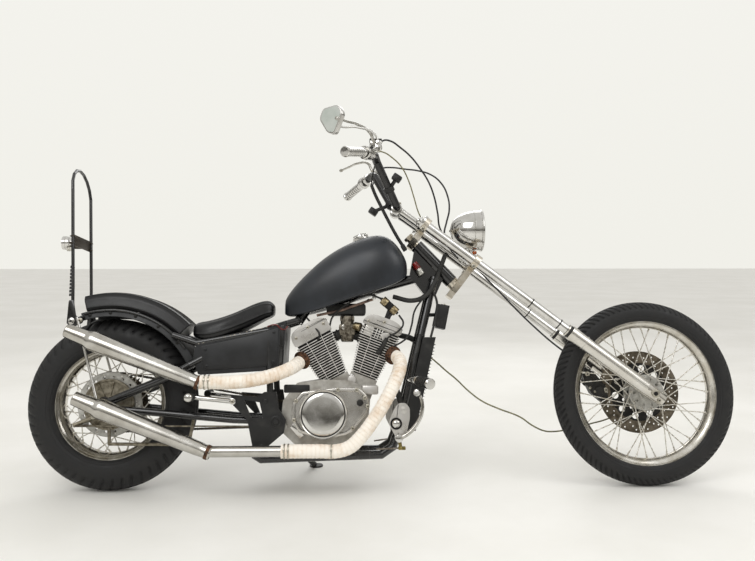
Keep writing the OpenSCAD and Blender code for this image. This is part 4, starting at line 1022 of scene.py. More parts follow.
# The waist between the can's two halves is near black: painted shade in the recess.
waist = pin(0.6, mid - 12 * coil_axis, mid + 12 * coil_axis, 15.4, sides=40)
ends = [rod(mid + s * 36 * coil_axis, mid + s * 43 * coil_axis, 7, 5, 16) for s in (-1, 1)]
bracket = [along(pipe(plain(4.5), 16), [(20, -66, 662), (24, -62, 650), (10, -60, 636), (6, -58, 628)]),
    box((14, -58, 652), (22, 4, 60), 1.5, 21)]
leads = [along(pipe(plain(3.6), 16), [(50, -70, 644), (66, -74, 612), (48, -78, 584), (10, -80, 560),
    (-12, -78, 534)]), along(pipe(plain(3.6), 16), [(-16, -68, 706), (-60, -72, 720), (-120, -66, 700),
    (-200, -56, 640), (-214, -40, 600)])]
boots = [pin(1.5, (4, -79, 556), (-24, -64, 506), 7.5, 9.5, 20), pin(1.5, (-22, -65, 510), (-28, -62, 500), 12, 12,
    20)]
parts = [dress(can, bronze_can), dress(waist, shade_and_seam_black), dress(ends + leads + boots, moulded_rubber),
    dress(bracket, satin_black)]
fit(parts, "ignition_coil_set", "frame", "cast_aluminium", "ignition_coil")

# ---------------------------------------------------------------- fuel tank
# Pressed and seam-welded steel teardrop over the backbone, with a flush lip
# round its underside and a chromed locking cap.
# Satin blue-black paint: deep, a little dusty, rubbed on the shoulders.
tank_paint = material("satin_tank_paint", "#11161e", 0.0, 0.36, 160, "#0e131a", "#18202a", (0.3, 0.5), 0.02,
    (0.4, 0.75), 12, Coat_Weight=0.25, Coat_Roughness=0.3)


def loft(ring, stations, levels=2):
    """Skin over sections: ring is (y, z) in unit size, stations are (x, z, half width, half height)."""
    x, z, w, h = stations[0]
    piece = drawn([(x, w * y, z + h * v) for y, v in ring], True)
    for x2, z2, w2, h2 in stations[1:]:
        bpy.ops.mesh.extrude_region_move(TRANSFORM_OT_translate={"value": (x2 - x, 0, z2 - z)})
        bpy.ops.transform.resize(value=(1, w2 / w, h2 / h), center_override=(x2, 0, z2))
        x, z, w, h = x2, z2, w2, h2
    pick("SELECT")
    face_out()
    mode("OBJECT")
    only(piece)
    skin = piece.modifiers.new("skin", "SUBSURF")
    skin.levels = skin.render_levels = levels
    bpy.ops.object.modifier_apply(modifier=skin.name)
    bpy.ops.object.shade_smooth()
    return piece


def both(half):
    """Whole ring from its right half, top to bottom."""
    return half + [(-y, z) for y, z in half[-2:0:-1]]


belly = both([(0, 1), (0.40, 0.97), (0.74, 0.76), (0.95, 0.36), (1.02, -0.12), (1.0, -0.6), (0.965, -0.88),
    (0.98, -0.95), (0.93, -1.02), (0.68, -1.0), (0.34, -0.94), (0.21, -0.5), (0, -0.44)])
outline = [(-386, 700, 652), (-380, 716, 646), (-356, 752, 644), (-310, 802, 649), (-240, 869, 668), (-160, 919, 694),
    (-80, 952, 720), (-14, 964, 742), (30, 940, 758), (62, 898, 775), (80, 862, 792), (85, 842, 806)]
widths = (24, 36, 56, 76, 97, 114, 125, 127, 119, 103, 80, 52)
tank = loft(belly, [(x, (t + b) / 2, w, (t - b) / 2) for (x, t, b), w in zip(outline, widths)], 2)
fit(dress(tank, tank_paint), "teardrop_tank", "frame", "tank_paint", "fuel_tank")
cap_way = Vector((-math.sin(math.radians(16)), 0, math.cos(math.radians(16))))
cap_at = Vector((-88, 0, 930))
skirt = turned([(0, 8), (33, 8), (34, 11), (34, 17), (31, 19), (28.5, 20), (28.5, 29), (27, 32), (20, 34), (0, 34.5)],
    64, cap_at, cap_way)
grip_ribs = around(box((cap_at + 24.5 * cap_way + Vector((28.5 * math.cos(math.radians(16)), 0,
    28.5 * math.sin(math.radians(16)))))[:], (3, 5, 8), 0.8), cap_at, 18, 0, cap_way)
key_flap = aim(pin(1, (0, 0, 0), (0, 0, 3), 9, sides=24), cap_at + 34 * cap_way, cap_way)
fit(dress([skirt, grip_ribs, key_flap], chrome), "fuel_filler_cap", "frame", "chrome_plate", "fuel_cap")

# ---------------------------------------------------------------- seats
# Foam pads on pressed pans, covered in black leather cloth, with pleats
# sewn lengthwise and a corded edge.
# Coated leather cloth: black, fine grain, a soft sheen where it is sat on.
leather = material("black_leather_cloth", "#0b0b0c", 0.0, 0.34, 60, "#08080a", "#111112", (0.27, 0.42), 0.0,
    (0.4, 0.75), Specular_IOR_Level=0.45, pits=(2.2, 0.5, 0.0005))
# Waxed seat thread: near black, a little glossy where it stands proud.
thread = material("waxed_seat_thread", "#2b2a28", 0.0, 0.6, 3, "#222120", "#3a3835", (0.5, 0.7))

pleats = [(0, 1.0)]
for k in range(1, 7):
    y = 0.88 * k / 6
    top = 1.0 - 0.52 * (y / 0.95) ** 4
    pleats += [(y - 0.045, top), (y - 0.012, top - 0.11), (y + 0.012, top - 0.11)] if k < 6 else [(y, top)]
sides = [(0.985, 0.1), (1.0, -0.34), (1.03, -0.42), (1.03, -0.50), (0.99, -0.56), (0.97, -0.86), (0.90, -1.0),
    (0.4, -1.0), (0, -1.0)]
pad = loft(both(pleats + sides), [(-726, 590, 52, 13), (-720, 590, 84, 25), (-702, 589, 104, 34),
    (-668, 589, 117, 38), (-630, 597, 118, 40), (-590, 610, 110, 41), (-550, 627, 96, 42), (-506, 648, 74, 42),
    (-470, 665, 58, 39), (-446, 671, 50, 33), (-430, 669, 40, 24), (-424, 666, 26, 14)], 2)
only(pad)
slack = pad.modifiers.new("slack", "DISPLACE")
creases = bpy.data.textures.new("slack", "CLOUDS")
creases.noise_scale = 38
creases.noise_depth = 2
slack.texture = creases
slack.strength = 2.2
slack.mid_level = 0.5
slack.texture_coords = "LOCAL"
bpy.ops.object.modifier_apply(modifier=slack.name)
fit(dress(pad, leather), "saddle", "frame", "leather_black", "rider_seat")

r0, thick = 352, 62
half = [(r0, -80), (r0, -84), (r0 + 8, -86), (r0 + 12, -88.5), (r0 + 16, -86), (r0 + 38, -86), (r0 + 50, -82),
    (r0 + 55, -76), (r0 + 57.4, -74.6), (r0 + 59.5, -71)]
crown_line = half + [(r0 + thick, -56), (r0 + thick + 1, -30), (r0 + thick + 1, 30), (r0 + thick, 56)] + [(r,
    -h) for r, h in half[::-1]]


def over_wheel(profile, start, span, steps):
    """A (radius, y) profile swept over the rear wheel, from start degrees above level."""
    piece = lathe(profile, steps, span)
    piece.matrix_world = (Matrix.Translation(rear_axle) @ Matrix.Rotation(math.radians(-start), 4,
        "Y") @ Matrix.Rotation(math.radians(-90), 4, "X")) @ piece.matrix_world
    return joined([piece])


pillion = soften(over_wheel(crown_line, 45, 60, 32), 9, 60, 4)
only(pillion)
smooth(50)
cords = [over_wheel(ringed(r, y, 2.4, 8), 45.4, 59.2, 32) for r, y in ((r0 + 58, -73), (r0 + 58, 73), (r0 + 12, -87),
    (r0 + 12, 87))]
for k in range(-4, 5):
    seam = over_wheel([(r0 + 63.2, 12 * k - 0.8), (r0 + 63.9, 12 * k), (r0 + 63.2, 12 * k + 0.8), (r0 + 62, 12 * k)],
        46, 58, 60)
    cords.append(dress(seam, thread))
for cord in cords[:4]:
    dress(cord, leather)
pillion = fit([dress(pillion, leather)] + cords, "pillion_pad", "frame", "leather_black", "passenger_seat")

# ---------------------------------------------------------------- fender and hoop
# Rolled steel fender with wired edges on the swingarm's chrome stays, and a
# bent steel-rod hoop that carries the tail lamp.
# Powder coat: dull blue-black, chipped and dusty.
powder_coat = material("chipped_powder_coat", "#141619", 0.0, 0.45, 48, "#111315", "#2b2c2d", (0.34, 0.56), 0.06,
    (0.5, 0.8), 8)
# Cast polycarbonate lens: deep red, clear skin.
lamp_red = material("red_lamp_lens", "#6e0f0c", 0.0, 0.12, 20, "#5a0c0a", "#8a1712", (0.08, 0.22),
    Transmission_Weight=0.35)
# Clear moulded lens: nearly colourless and glossy.
lamp_clear = material("clear_lamp_lens", "#d9d6cd", 0.0, 0.1, 12, "#c9c6bb", "#e4e2da", (0.08, 0.2),
    Transmission_Weight=0.5)

sheet = [(348.5, -92), (351.5, -92.5), (351.5, -93.5), (349, -95), (327, -95), (324, -96.5), (322, -95), (322, -93),
    (324, -91.5), (327, -92), (347, -92), (348.5, -90), (348.5, 90), (347, 92), (327, 92), (324, 91.5), (322, 93),
    (322, 95), (324, 96.5), (327, 95), (349, 95), (351.5, 93.5), (351.5, 92.5)]
wing = over_wheel(sheet[1:] + sheet[:1], 27, 81, 60)
rails = [over_wheel(ringed(346, s * 98, 5, 10), 36, 70, 40) for s in (-1, 1)]
spots = []
for s in (-1, 1):
    for a in (42, 58, 74, 90, 103):
        p = Vector((rear_x + 336 * math.cos(math.radians(a)), s * 95, rear_z + 336 * math.sin(math.radians(a))))
        spots.append(bolt(p, (0, s, 0), 5, 4, black_anodised))
fit([dress(wing, powder_coat), dress(rails, gloss_black)] + spots, "rolled_fender", "frame", "satin_black_paint",
    "rear_fender")
carried(gloss_black, "sissy_bar")
carried(chrome, "fender_struts")
feet = []
for s in (-1, 1):
    feet += [dress(slab([(-1180, 612), (-1176, 700), (-1158, 700), (-1146, 640), (-1120, 632), (-1120, 616),
        (-1150, 602)], s * 107.6, s * 111.6, 6, 1), gloss_black), bolt((-1162, s * 111.6, 622), (0, s, 0), 9, 8,
        chrome), bolt((-1130, s * 111.6, 625), (0, s, 0), 6, 6, plated_bolt)]
tape = [dress(rod((-1171 - 0.06 * k, -101.3, 716 + 13 * k), (-1171.6 - 0.06 * k, -101.3, 725 + 13 * k), 8.2, 7.4, 12),
    rubber_jacket) for k in range(9)]
fit(feet + tape, "hoop_feet", "frame", "gloss_black_paint")

lamp_seat = (-1206, 0, 930), (-1, 0, 0)
bucket = turned([(0, 0), (8, 0), (16, 4), (23, 14), (25, 24), (25, 36), (23.5, 38), (0, 38)], 48, *lamp_seat)
lens_dome = turned([(0, 46), (12, 44.5), (20, 41), (23.5, 37), (23.5, 34), (0, 34)], 48, *lamp_seat)
visor = hollow([(24.5, 30), (26.2, 30), (26.2, 42), (24.5, 42)], 48, *lamp_seat)
bar_plate = slab([(-1181, 908), (-1176, 908), (-1176, 950), (-1181, 950)], -95, 95, 0, 1)
arm = [rod((-1180, y, 914), (-1214, y * 0.4, 912), 4, sides=12) for y in (-24, 24)]
hooks = []
for s in (-1, 1):
    for z in (914, 942):
        clear()
        hooks.append(torus(9, 2, 24, (-1178, s * 98, z), (0, 0, 1)))
        bpy.ops.object.shade_smooth()
side_lens = dress(pin(2, (-1206, -18, 904), (-1226, -22, 902), 9, 7, 20), lamp_clear)
parts = [dress(bucket, chrome), dress(lens_dome, lamp_red), dress(visor, chrome), dress([bar_plate] + arm + hooks,
    oiled_steel), side_lens]
fit(parts, "tail_light", "frame", "red_lens", "tail_lamp")

# ---------------------------------------------------------------- electrics
# Welded sheet box for the battery, finned regulator, small radiator and the
# wiring that joins them.
# Box paint: satin black, chipped pale along the folded edges.
box_paint = material("satin_box_paint", "#161719", 0.0, 0.4, 90, "#131416", "#26272a", (0.32, 0.5), 0.04,
    (0.45, 0.75), 10)
# Primer under chipped paint: grey, matt and patchy.
chipped = material("chipped_primer", "#9d9788", 0.0, 0.7, 7, "#7c766a", "#b6b0a2", (0.6, 0.8), 0.1)
carried(box_paint, "battery_box")
trim = []
for s in (-1, 1):
    y = s * 118
    trim += [dress(slab([(-672, 440), (-476, 450), (-404, 458), (-398, 596), (-500, 566), (-684, 527)], y,
        y + s * 2.4, 6, 0.8), box_paint), dress(slab([(-398, 458), (-384, 458), (-378, 606), (-392, 602)], y,
        y + s * 3, 2, 0.8), gloss_black)]
    trim += [bolt((x, y + s * 2.4, z), (0, s, 0), 4.5, 4, box_paint) for x, z in ((-660, 455), (-416, 470),
        (-416, 578), (-668, 516))]
chips = []
for k in range(16):
    x = -690 + 19 * k + random.uniform(-5, 5)
    chips.append(dress(box((x, -118.4, 540 + (x + 690) * 0.243 - 2), (random.uniform(4, 12), 1.2,
        random.uniform(1.5, 4)), 0.4, -14), chipped))
red_wire = dress(along(pipe(plain(2.2), 12), [(-440, -122, 600), (-410, -126, 606), (-380, -124, 588),
    (-366, -112, 600)]), lamp_red)
fit(trim + chips + [red_wire], "battery_box_trim", "frame", "satin_black_paint")

# Radiator: louvred matrix between pressed tanks, behind the down tubes.
carried(satin_black, "radiator")
louvres = []
for k in range(26):
    z = 232 + 12 * k
    x = 110 + (z - 215) * 80 / 345
    louvres.append(box((x + 2, 0, z), (4, 138, 2.4), 0, 20))
hoses = [along(pipe(plain(11)), [(132, 60, 540), (104, 66, 560), (60, 56, 572), (20, 40, 590)]),
    along(pipe(plain(11)), [(84, -58, 250), (60, -76, 300), (40, -78, 360), (20, -70, 392)])]
fit([dress(louvres, satin_black), dress(hoses, moulded_rubber)], "radiator_matrix", "frame", "satin_black_paint")
carried(satin_black, "regulator")
fins = [box((213, -34 + 6.4 * k, 644), (38, 2.4, 84), 0.6, 12) for k in range(12)]
fins += [bolt((228, y, z), (1, 0, 0.2), 5, 5, plated_bolt) for y, z in ((-26, 684), (26, 610))]
fit([dress(f, satin_black) if not f.data.materials else f for f in fins], "regulator_fins", "frame",
    "satin_black_paint")
loom = [along(pipe(plain(9), 20), [(236, -8, 880), (212, -30, 820), (190, -58, 770), (150, -66, 716), (104, -52, 700),
    (30, -34, 716)]), along(pipe(plain(4.5), 14), [(180, -60, 740), (196, -64, 690), (186, -66, 620),
    (170, -70, 560)]), along(pipe(plain(3.5), 12), [(150, -62, 716), (110, -74, 660), (96, -78, 600), (80, -76, 560),
    (20, -66, 520)]), along(pipe(plain(3.5), 12), [(-300, -46, 636), (-270, -60, 600), (-250, -70, 570),
    (-262, -60, 540)])]
fit(dress(loom, moulded_rubber), "frame_wiring", "frame", "black_rubber")

# ---------------------------------------------------------------- forks
# Hard-chromed steel tubes in bright aluminium sliders, held by two clamp
# trees; the tubes are long, and a raked line carries the wheel well forward.
# Slider alloy, machined and buffed: bright, faint turning marks.
slider_alloy = material("buffed_slider_alloy", "#d2cfc9", 1.0, 0.2, 150, "#c3beb4", "#dedcd7", (0.16, 0.28), 0.0,
    (0.3, 0.7), 3)
# Brushed warm alloy plate, oily.
tree_alloy = material("brushed_tree_alloy", "#d2cabc", 1.0, 0.28, 60, "#c2b9a8", "#dcd6ca", (0.24, 0.36), 0.02)
carried(chrome, "fork_tubes")
carried(slider_alloy, "fork_sliders")
carried(bare_steel, "front_axle")
carried(tree_alloy, "upper_tree", "lower_tree")
line = (fork_spot(100, 0, 0) - fork_spot(0, 0, 0)).normalized()
fork_len = math.hypot(front_x - 136, 996 - front_z)
seals, caps, pinch = [], [], []
for y in (-100, 100):
    seals.append(pin(1.5, fork_spot(376, 0, y), fork_spot(390, 0, y), 24.5, 23.5, 40))
    seals.append(pin(1.2, fork_spot(388, 0, y), fork_spot(395, 0, y), 21.6, 20.5, 40))
    caps.append(turned([(0, 10), (9, 10), (10, 8), (11, 5), (17, 4), (20, 1), (20, -2), (0, -2)], 40,
        fork_spot(fork_len + 8, 0, y), line))
    caps.append(hollow([(19, -4), (31, -4), (32, -2), (32, 5), (30, 7), (19, 7)], 48, fork_spot(fork_len - 8, 0, y),
        line))
    side = 1 if y > 0 else -1
    pinch.append(bolt(fork_spot(fork_len - 20, 22, y + side * 27), (0, side, 0), 6, 8, plated_bolt))
    pinch.append(bolt(fork_spot(fork_len - 258, 22, y + side * 27), (0, side, 0), 6, 8, plated_bolt))
    pinch.append(bolt(fork_spot(-26, 12, y + side * 20), (0, side, 0), 6, 8, plated_bolt))
    pinch.append(rod((front_x, y + side * 26, front_z), (front_x, y + side * 30.6, front_z), 15.5, 15.5, 32))
    pinch[-1] = dress(soften(pinch[-1], 1), plated_bolt)
    # A near-black disc in the axle nut: painted shade in the axle's bore.
    pinch.append(dress(rod((front_x, y + side * 30, front_z), (front_x, y + side * 31.4, front_z), 8, 8, 24), shade_and_seam_black))
    for z in (60, 120):
        ring = hollow([(27.3, -1.2), (28.2, -0.6), (28.2, 0.6), (27.3, 1.2)], 40)
        pinch.append(dress(aim(ring, fork_spot(z * 2.6, 0, y), line), slider_alloy))
ties = []
for d, y in ((430, -100), (560, -100), (520, 100)):
    tie = hollow([(19.2, -2), (20.6, -2), (20.6, 2), (19.2, 2)], 32)
    ties.append(aim(tie, fork_spot(d, 0, y), line))
    ties.append(box(tuple(fork_spot(d, 0, y) + Vector((0, -21 if y < 0 else 21, 0))), (5, 4, 6), 0.8))
parts = [dress(seals, moulded_rubber), dress(caps, chrome), dress(ties, moulded_rubber)] + pinch
fit(parts, "fork_details", "fork", "chrome_plate")

# ---------------------------------------------------------------- headlight
# Spun and chromed bullet shell, twin-bead rim, fluted glass over a silvered
# bowl, on a stem from the lower tree.
# Lamp glass: clear, a hint of green at the edge.
lamp_glass, tree, shader = surface("lamp_glass", "#e6ece6", 0.0, 0.03, Transmission_Weight=0.92, IOR=1.45)
flutes = add(tree, "ShaderNodeTexWave", {"Scale": 40, "Distortion": 0.0, "bands_direction": "Y"},
    {"Vector": (add(tree, "ShaderNodeTexCoord"), "Object")})
relief = add(tree, "ShaderNodeBump", {"Strength": 0.35, "Distance": 0.0008}, {"Height": (flutes, "Fac")})
tree.links.new(relief.outputs["Normal"], shader.inputs["Normal"])
# Vapour-silvered bowl: a near mirror.
silvered = material("silvered_bowl", "#dededb", 1.0, 0.08, 30, "#cfcfcb", "#e8e8e5", (0.05, 0.14))
# Amber moulded lens: glossy, slightly uneven in colour.
amber = material("amber_lens", "#b5541a", 0.0, 0.15, 10, "#96420f", "#cc6a2b", (0.1, 0.25), Transmission_Weight=0.3)

lamp_at = (379, 0, 979)
bullet = hollow([(66, -6), (70.5, -6), (73, -4), (74, -1), (73.6, 2), (71, 4), (70.6, 8), (70, 20), (69, 32),
    (67, 46), (64, 60), (60, 73), (54, 86), (46, 98), (36, 108), (24, 115), (10, 119), (5, 120.5), (0.5, 121),
    (0.5, 117), (22, 111), (44, 92), (58, 66), (64, 36), (66, 18)], 72)
bowl = hollow([(64.5, -1), (66.5, 0), (60, 22), (46, 40), (28, 50), (9, 54), (9, 52), (27, 47.5), (44.5, 38),
    (58, 20)], 56)
glass = lathe([(0, -13), (20, -12.4), (40, -10.2), (56, -6.6), (66, -2.4), (66.4, 0), (64, -0.6), (55, -4),
    (40, -7.6), (20, -9.8), (0, -10.4)], 56)
bulb = pin(2.5, (0, 0, 48), (0, 0, 22), 7, 6, 24)
skirt_seam = hollow([(69.2, 28), (70.8, 29), (70.6, 31), (68.8, 32)], 64)
tail_rivet = lathe([(0, 124), (4, 123.5), (6, 120), (5, 117), (0, 117)], 24)
lamp = [dress(bullet, chrome), dress(bowl, silvered), dress(glass, lamp_glass), dress(bulb, lamp_clear),
    dress([skirt_seam, tail_rivet], chrome)]
lamp = joined(lamp)
lamp.scale = (84 / 74, 84 / 74, 1.0)
lamp = aim(joined([lamp]), lamp_at, (-1, 0, 0))
drop = dress(pin(2, (352, -8, 893), (352, -12, 884), 10, 7, 20), amber)
foot = fork_spot(fork_len - 258, -34, 0)
stem = joined([pin(1, (333, 0, 913), tuple(foot), 11, 11, 28), pin(2, (333, 0, 898), (331, 0, 914), 17, 20, 32)])
nose = turned([(0, 24), (9, 24), (11, 21), (16, 19), (17, 16), (17, 0), (0, 0)], 36, fork_spot(fork_len - 258, -12.3,
    0), fork_spot(0, -1, 0) - fork_spot(0, 0, 0))
stem_bolt = bolt((333, 0, 899), (0.1, 0, -1), 6, 6, plated_bolt, False)
fit([lamp, drop, dress([stem, nose], chrome), stem_bolt], "bullet_headlight", "fork", "chrome_plate", "headlight")

# ---------------------------------------------------------------- handlebar
# Bent steel bar in two turned risers, with ribbed grips, alloy lever blades,
# switch housings and a round-cornered mirror.
# Bar tube: thick black powder coat, scuffed.
bar_coat = material("black_bar_coat", "#101011", 0.0, 0.3, 45, "#0d0d0e", "#242322", (0.24, 0.42), 0.04, (0.5, 0.8),
    8, Coat_Weight=0.3)
# Lever blade: polished alloy, thumb-worn.
lever_alloy = material("polished_lever_alloy", "#c3c1bb", 1.0, 0.16, 24, "#a5a29a", "#d2d0cb", (0.12, 0.26))
# Silvered mirror glass: very smooth, faintly green.
mirror_glass = material("mirror_glass", "#dfe6e1", 1.0, 0.02, 120, "#d3dcd6", "#e8ede9", (0.01, 0.04))
carried(bar_coat, "handlebar")
risers = []
base = fork_spot(fork_len - 20 + 12.3, 2, 0)
for s in (-1, 1):
    low, high = Vector((base.x, s * 44, base.z)), Vector((59, s * 44, 1049))
    way = (high - low).normalized()
    tall = (high - low).length
    stalk = turned([(0, 0), (17, 0), (18, 2), (18, 8), (15, 11), (14.6, 20), (14.6, tall - 22), (15.4, tall - 16),
        (15.4, tall - 6), (0, tall - 6)], 48, low, way)
    clamp = pin(2, (46, s * 30, 1058), (46, s * 58, 1058), 21.5, sides=40)
    risers += [dress(stalk, chrome), dress(clamp, chrome)]
    risers += [bolt((58, s * y, 1077), (0.3, 0, 1), 4.6, 6, plated_bolt) for y in (37, 51)]
    risers += [dress(rod((66, s * 30.2, 1058), (68.2, s * 57.8, 1058), 0.9, sides=6), shade_and_seam_black)]
fit(risers, "turned_risers", "fork", "chrome_plate", "risers")

grips, hand = [], []
for s in (-1, 1):
    a, b = Vector((-85, s * 262, 1226)), Vector((-150, s * 378, 1196))
    way = (b - a).normalized()
    long = (b - a).length
    profile = [(11.4, 3), (19, 3), (19.6, 5), (19.6, 10), (17, 12)]
    h = 14.0
    while h < long - 14:
        profile += [(17.2, h), (17.2, h + 7), (14.8, h + 8), (14.8, h + 11), (17.2, h + 12)]
        h += 14.0
    profile += [(17.2, long - 8), (19.4, long - 6), (19.4, long + 2), (16, long + 6), (0.1, long + 7),
        (0.1, long - 2), (11.4, long - 4)]
    sleeve = dress(hollow(profile, 48, a, way), chrome)
    bands, h = [], 14.0
    while h < long - 14:
        bands.append(hollow([(14.6, h + 7.6), (15.9, h + 8.2), (15.9, h + 10.8), (14.6, h + 11.4)], 40))
        h += 14.0
    grips += [sleeve, dress(aim(joined(bands), a, way), moulded_rubber)]
fit(grips, "ribbed_grips", "fork", "chrome_plate", "grips")

for s in (-1, 1):
    g_in = Vector((-85, s * 262, 1226))
    inward = (Vector((-85, s * 262, 1226)) - Vector((-42, s * 160, 1240))).normalized()
    inner = g_in - 62 * inward
    housing = hollow([(15.9, -19), (22, -19), (24.5, -16), (25, -12), (25, 12), (24.5, 15), (21, 18), (15.9, 18)], 48,
        g_in - 22 * inward, inward)
    split_line = dress(hollow([(24.8, -0.5), (25.25, -0.5), (25.25, 0.5), (24.8, 0.5)], 48, g_in - 22 * inward,
        inward), shade_and_seam_black)
    perch = hollow([(15.9, -12), (20, -12), (22, -9), (22, 9), (20, 12), (15.9, 12)], 44, inner, inward)
    block = [pin(2, inner + Vector((-6, 0, 8)), inner + Vector((34, 0, 26)), 14, 13, 28), pin(2.5,
        inner + Vector((34, -14 * s, 26)), inner + Vector((30, 24 * s, 30)), 13, 12.5, 28)]
    out = Vector((-180, s * 382, 1316))
    route = [inner + Vector((26, 0, 22)), inner + Vector((12, s * 10, 52)), inner + Vector((4, s * 18, 72)),
        g_in + Vector((-20, s * 20, 98)), g_in.lerp(out, 0.55) + Vector((-8, s * 6, 44)), out]
    blade = along(pipe(lambda n: [(0.1, -1), (5, 0)] + [(6.4 - 2.0 * k / 20, n * k / 20) for k in range(1,
        19)] + [(4.6, n - 9), (7.2, n - 7), (8, n - 2), (6.6, n + 3), (0.1, n + 5)], 18), route)
    knob = pin(1.2, g_in - 30 * inward + Vector((16, 0, 18)), g_in - 30 * inward + Vector((22, 0, 25)), 6, 5.4, 20)
    hand += [dress([housing, perch] + block, chrome), split_line, dress(blade, lever_alloy),
        dress(knob, moulded_rubber), bolt(inner + Vector((16, 0, 34)), (0.3, 0, 1), 4.2, 4, plated_bolt)]
    hand += [bolt(inner + Vector((-17, s * y, 2)), (-1, 0, 0.1), 3.6, 4, plated_bolt) for y in (-6, 6)]
reservoir_at = Vector((-85, -262, 1226)) - 62 * (Vector((-85, -262, 1226)) - Vector((-42, -160, 1240))).normalized()
reservoir = box(tuple(reservoir_at + Vector((22, 20, 44))), (44, 48, 22), 5)
lid = box(tuple(reservoir_at + Vector((22, 20, 57))), (46, 50, 5), 2)
hand += [dress(reservoir, chrome), dress(lid, black_anodised)]
hand += [bolt(reservoir_at + Vector((22 + x, 20 + y, 59)), (0, 0, 1), 3, 2.5, plated_bolt) for x,
    y in ((-17, -19), (17, 19))]
fit(hand, "levers_and_switches", "fork", "chrome_plate", "bar_controls")

tip = Vector((-196, -352, 1318))
back = slab([(-50, 10), (-34, 46), (30, 50), (50, 18), (16, -56), (-14, -48)], 13, -6, 12, 4, 4)
bezel = slab([(-50, 10), (-34, 46), (30, 50), (50, 18), (16, -56), (-14, -48)], -6, -12, 12, 2, 3)
glass = slab([(-44, 9), (-31, 41), (27, 45), (44, 17), (13, -50), (-12, -43)], -10, -12.6, 10, 0.6, 1)
ball = pin(2.5, (10, 13, -8), (14, 20, -12), 9, 7, 24)
mirror = joined([dress(back, chrome), dress(bezel, chrome), dress(glass, mirror_glass), dress(ball, chrome)])
mirror.matrix_world = Matrix.Translation(tip) @ Matrix.Rotation(math.radians(-34), 4, "Z")
mirror = joined([mirror])
perch_at = reservoir_at + Vector((30, -22, 36))
stalk = along(pipe(plain(4.6), 20), [perch_at, perch_at + Vector((-10, -6, 30)), perch_at.lerp(tip,
    0.5) + Vector((6, 8, 20)), tip + Vector((30, 30, -14)), tip + Vector((10, 14, -8))])
collar = turned([(0, -6), (9, -6), (9.6, -4), (9.6, 8), (6, 12), (0, 12)], 6, perch_at, (-0.35, -0.15, 1))
fit([mirror, dress([stalk, collar], chrome)], "bar_mirror_shell", "fork", "chrome_plate", "bar_mirror")

# ---------------------------------------------------------------- foot controls
# Alloy brackets ahead of the engine with pegs and levers, pegs for the
# passenger on the pivot plates, and the rear drum's brake gear.
# Cadmium-plated steel: olive-gold, dull.
cadmium = material("cadmium_plate", "#8b7d4a", 1.0, 0.38, 9, "#665a34", "#a89a63", (0.3, 0.5), 0.05)
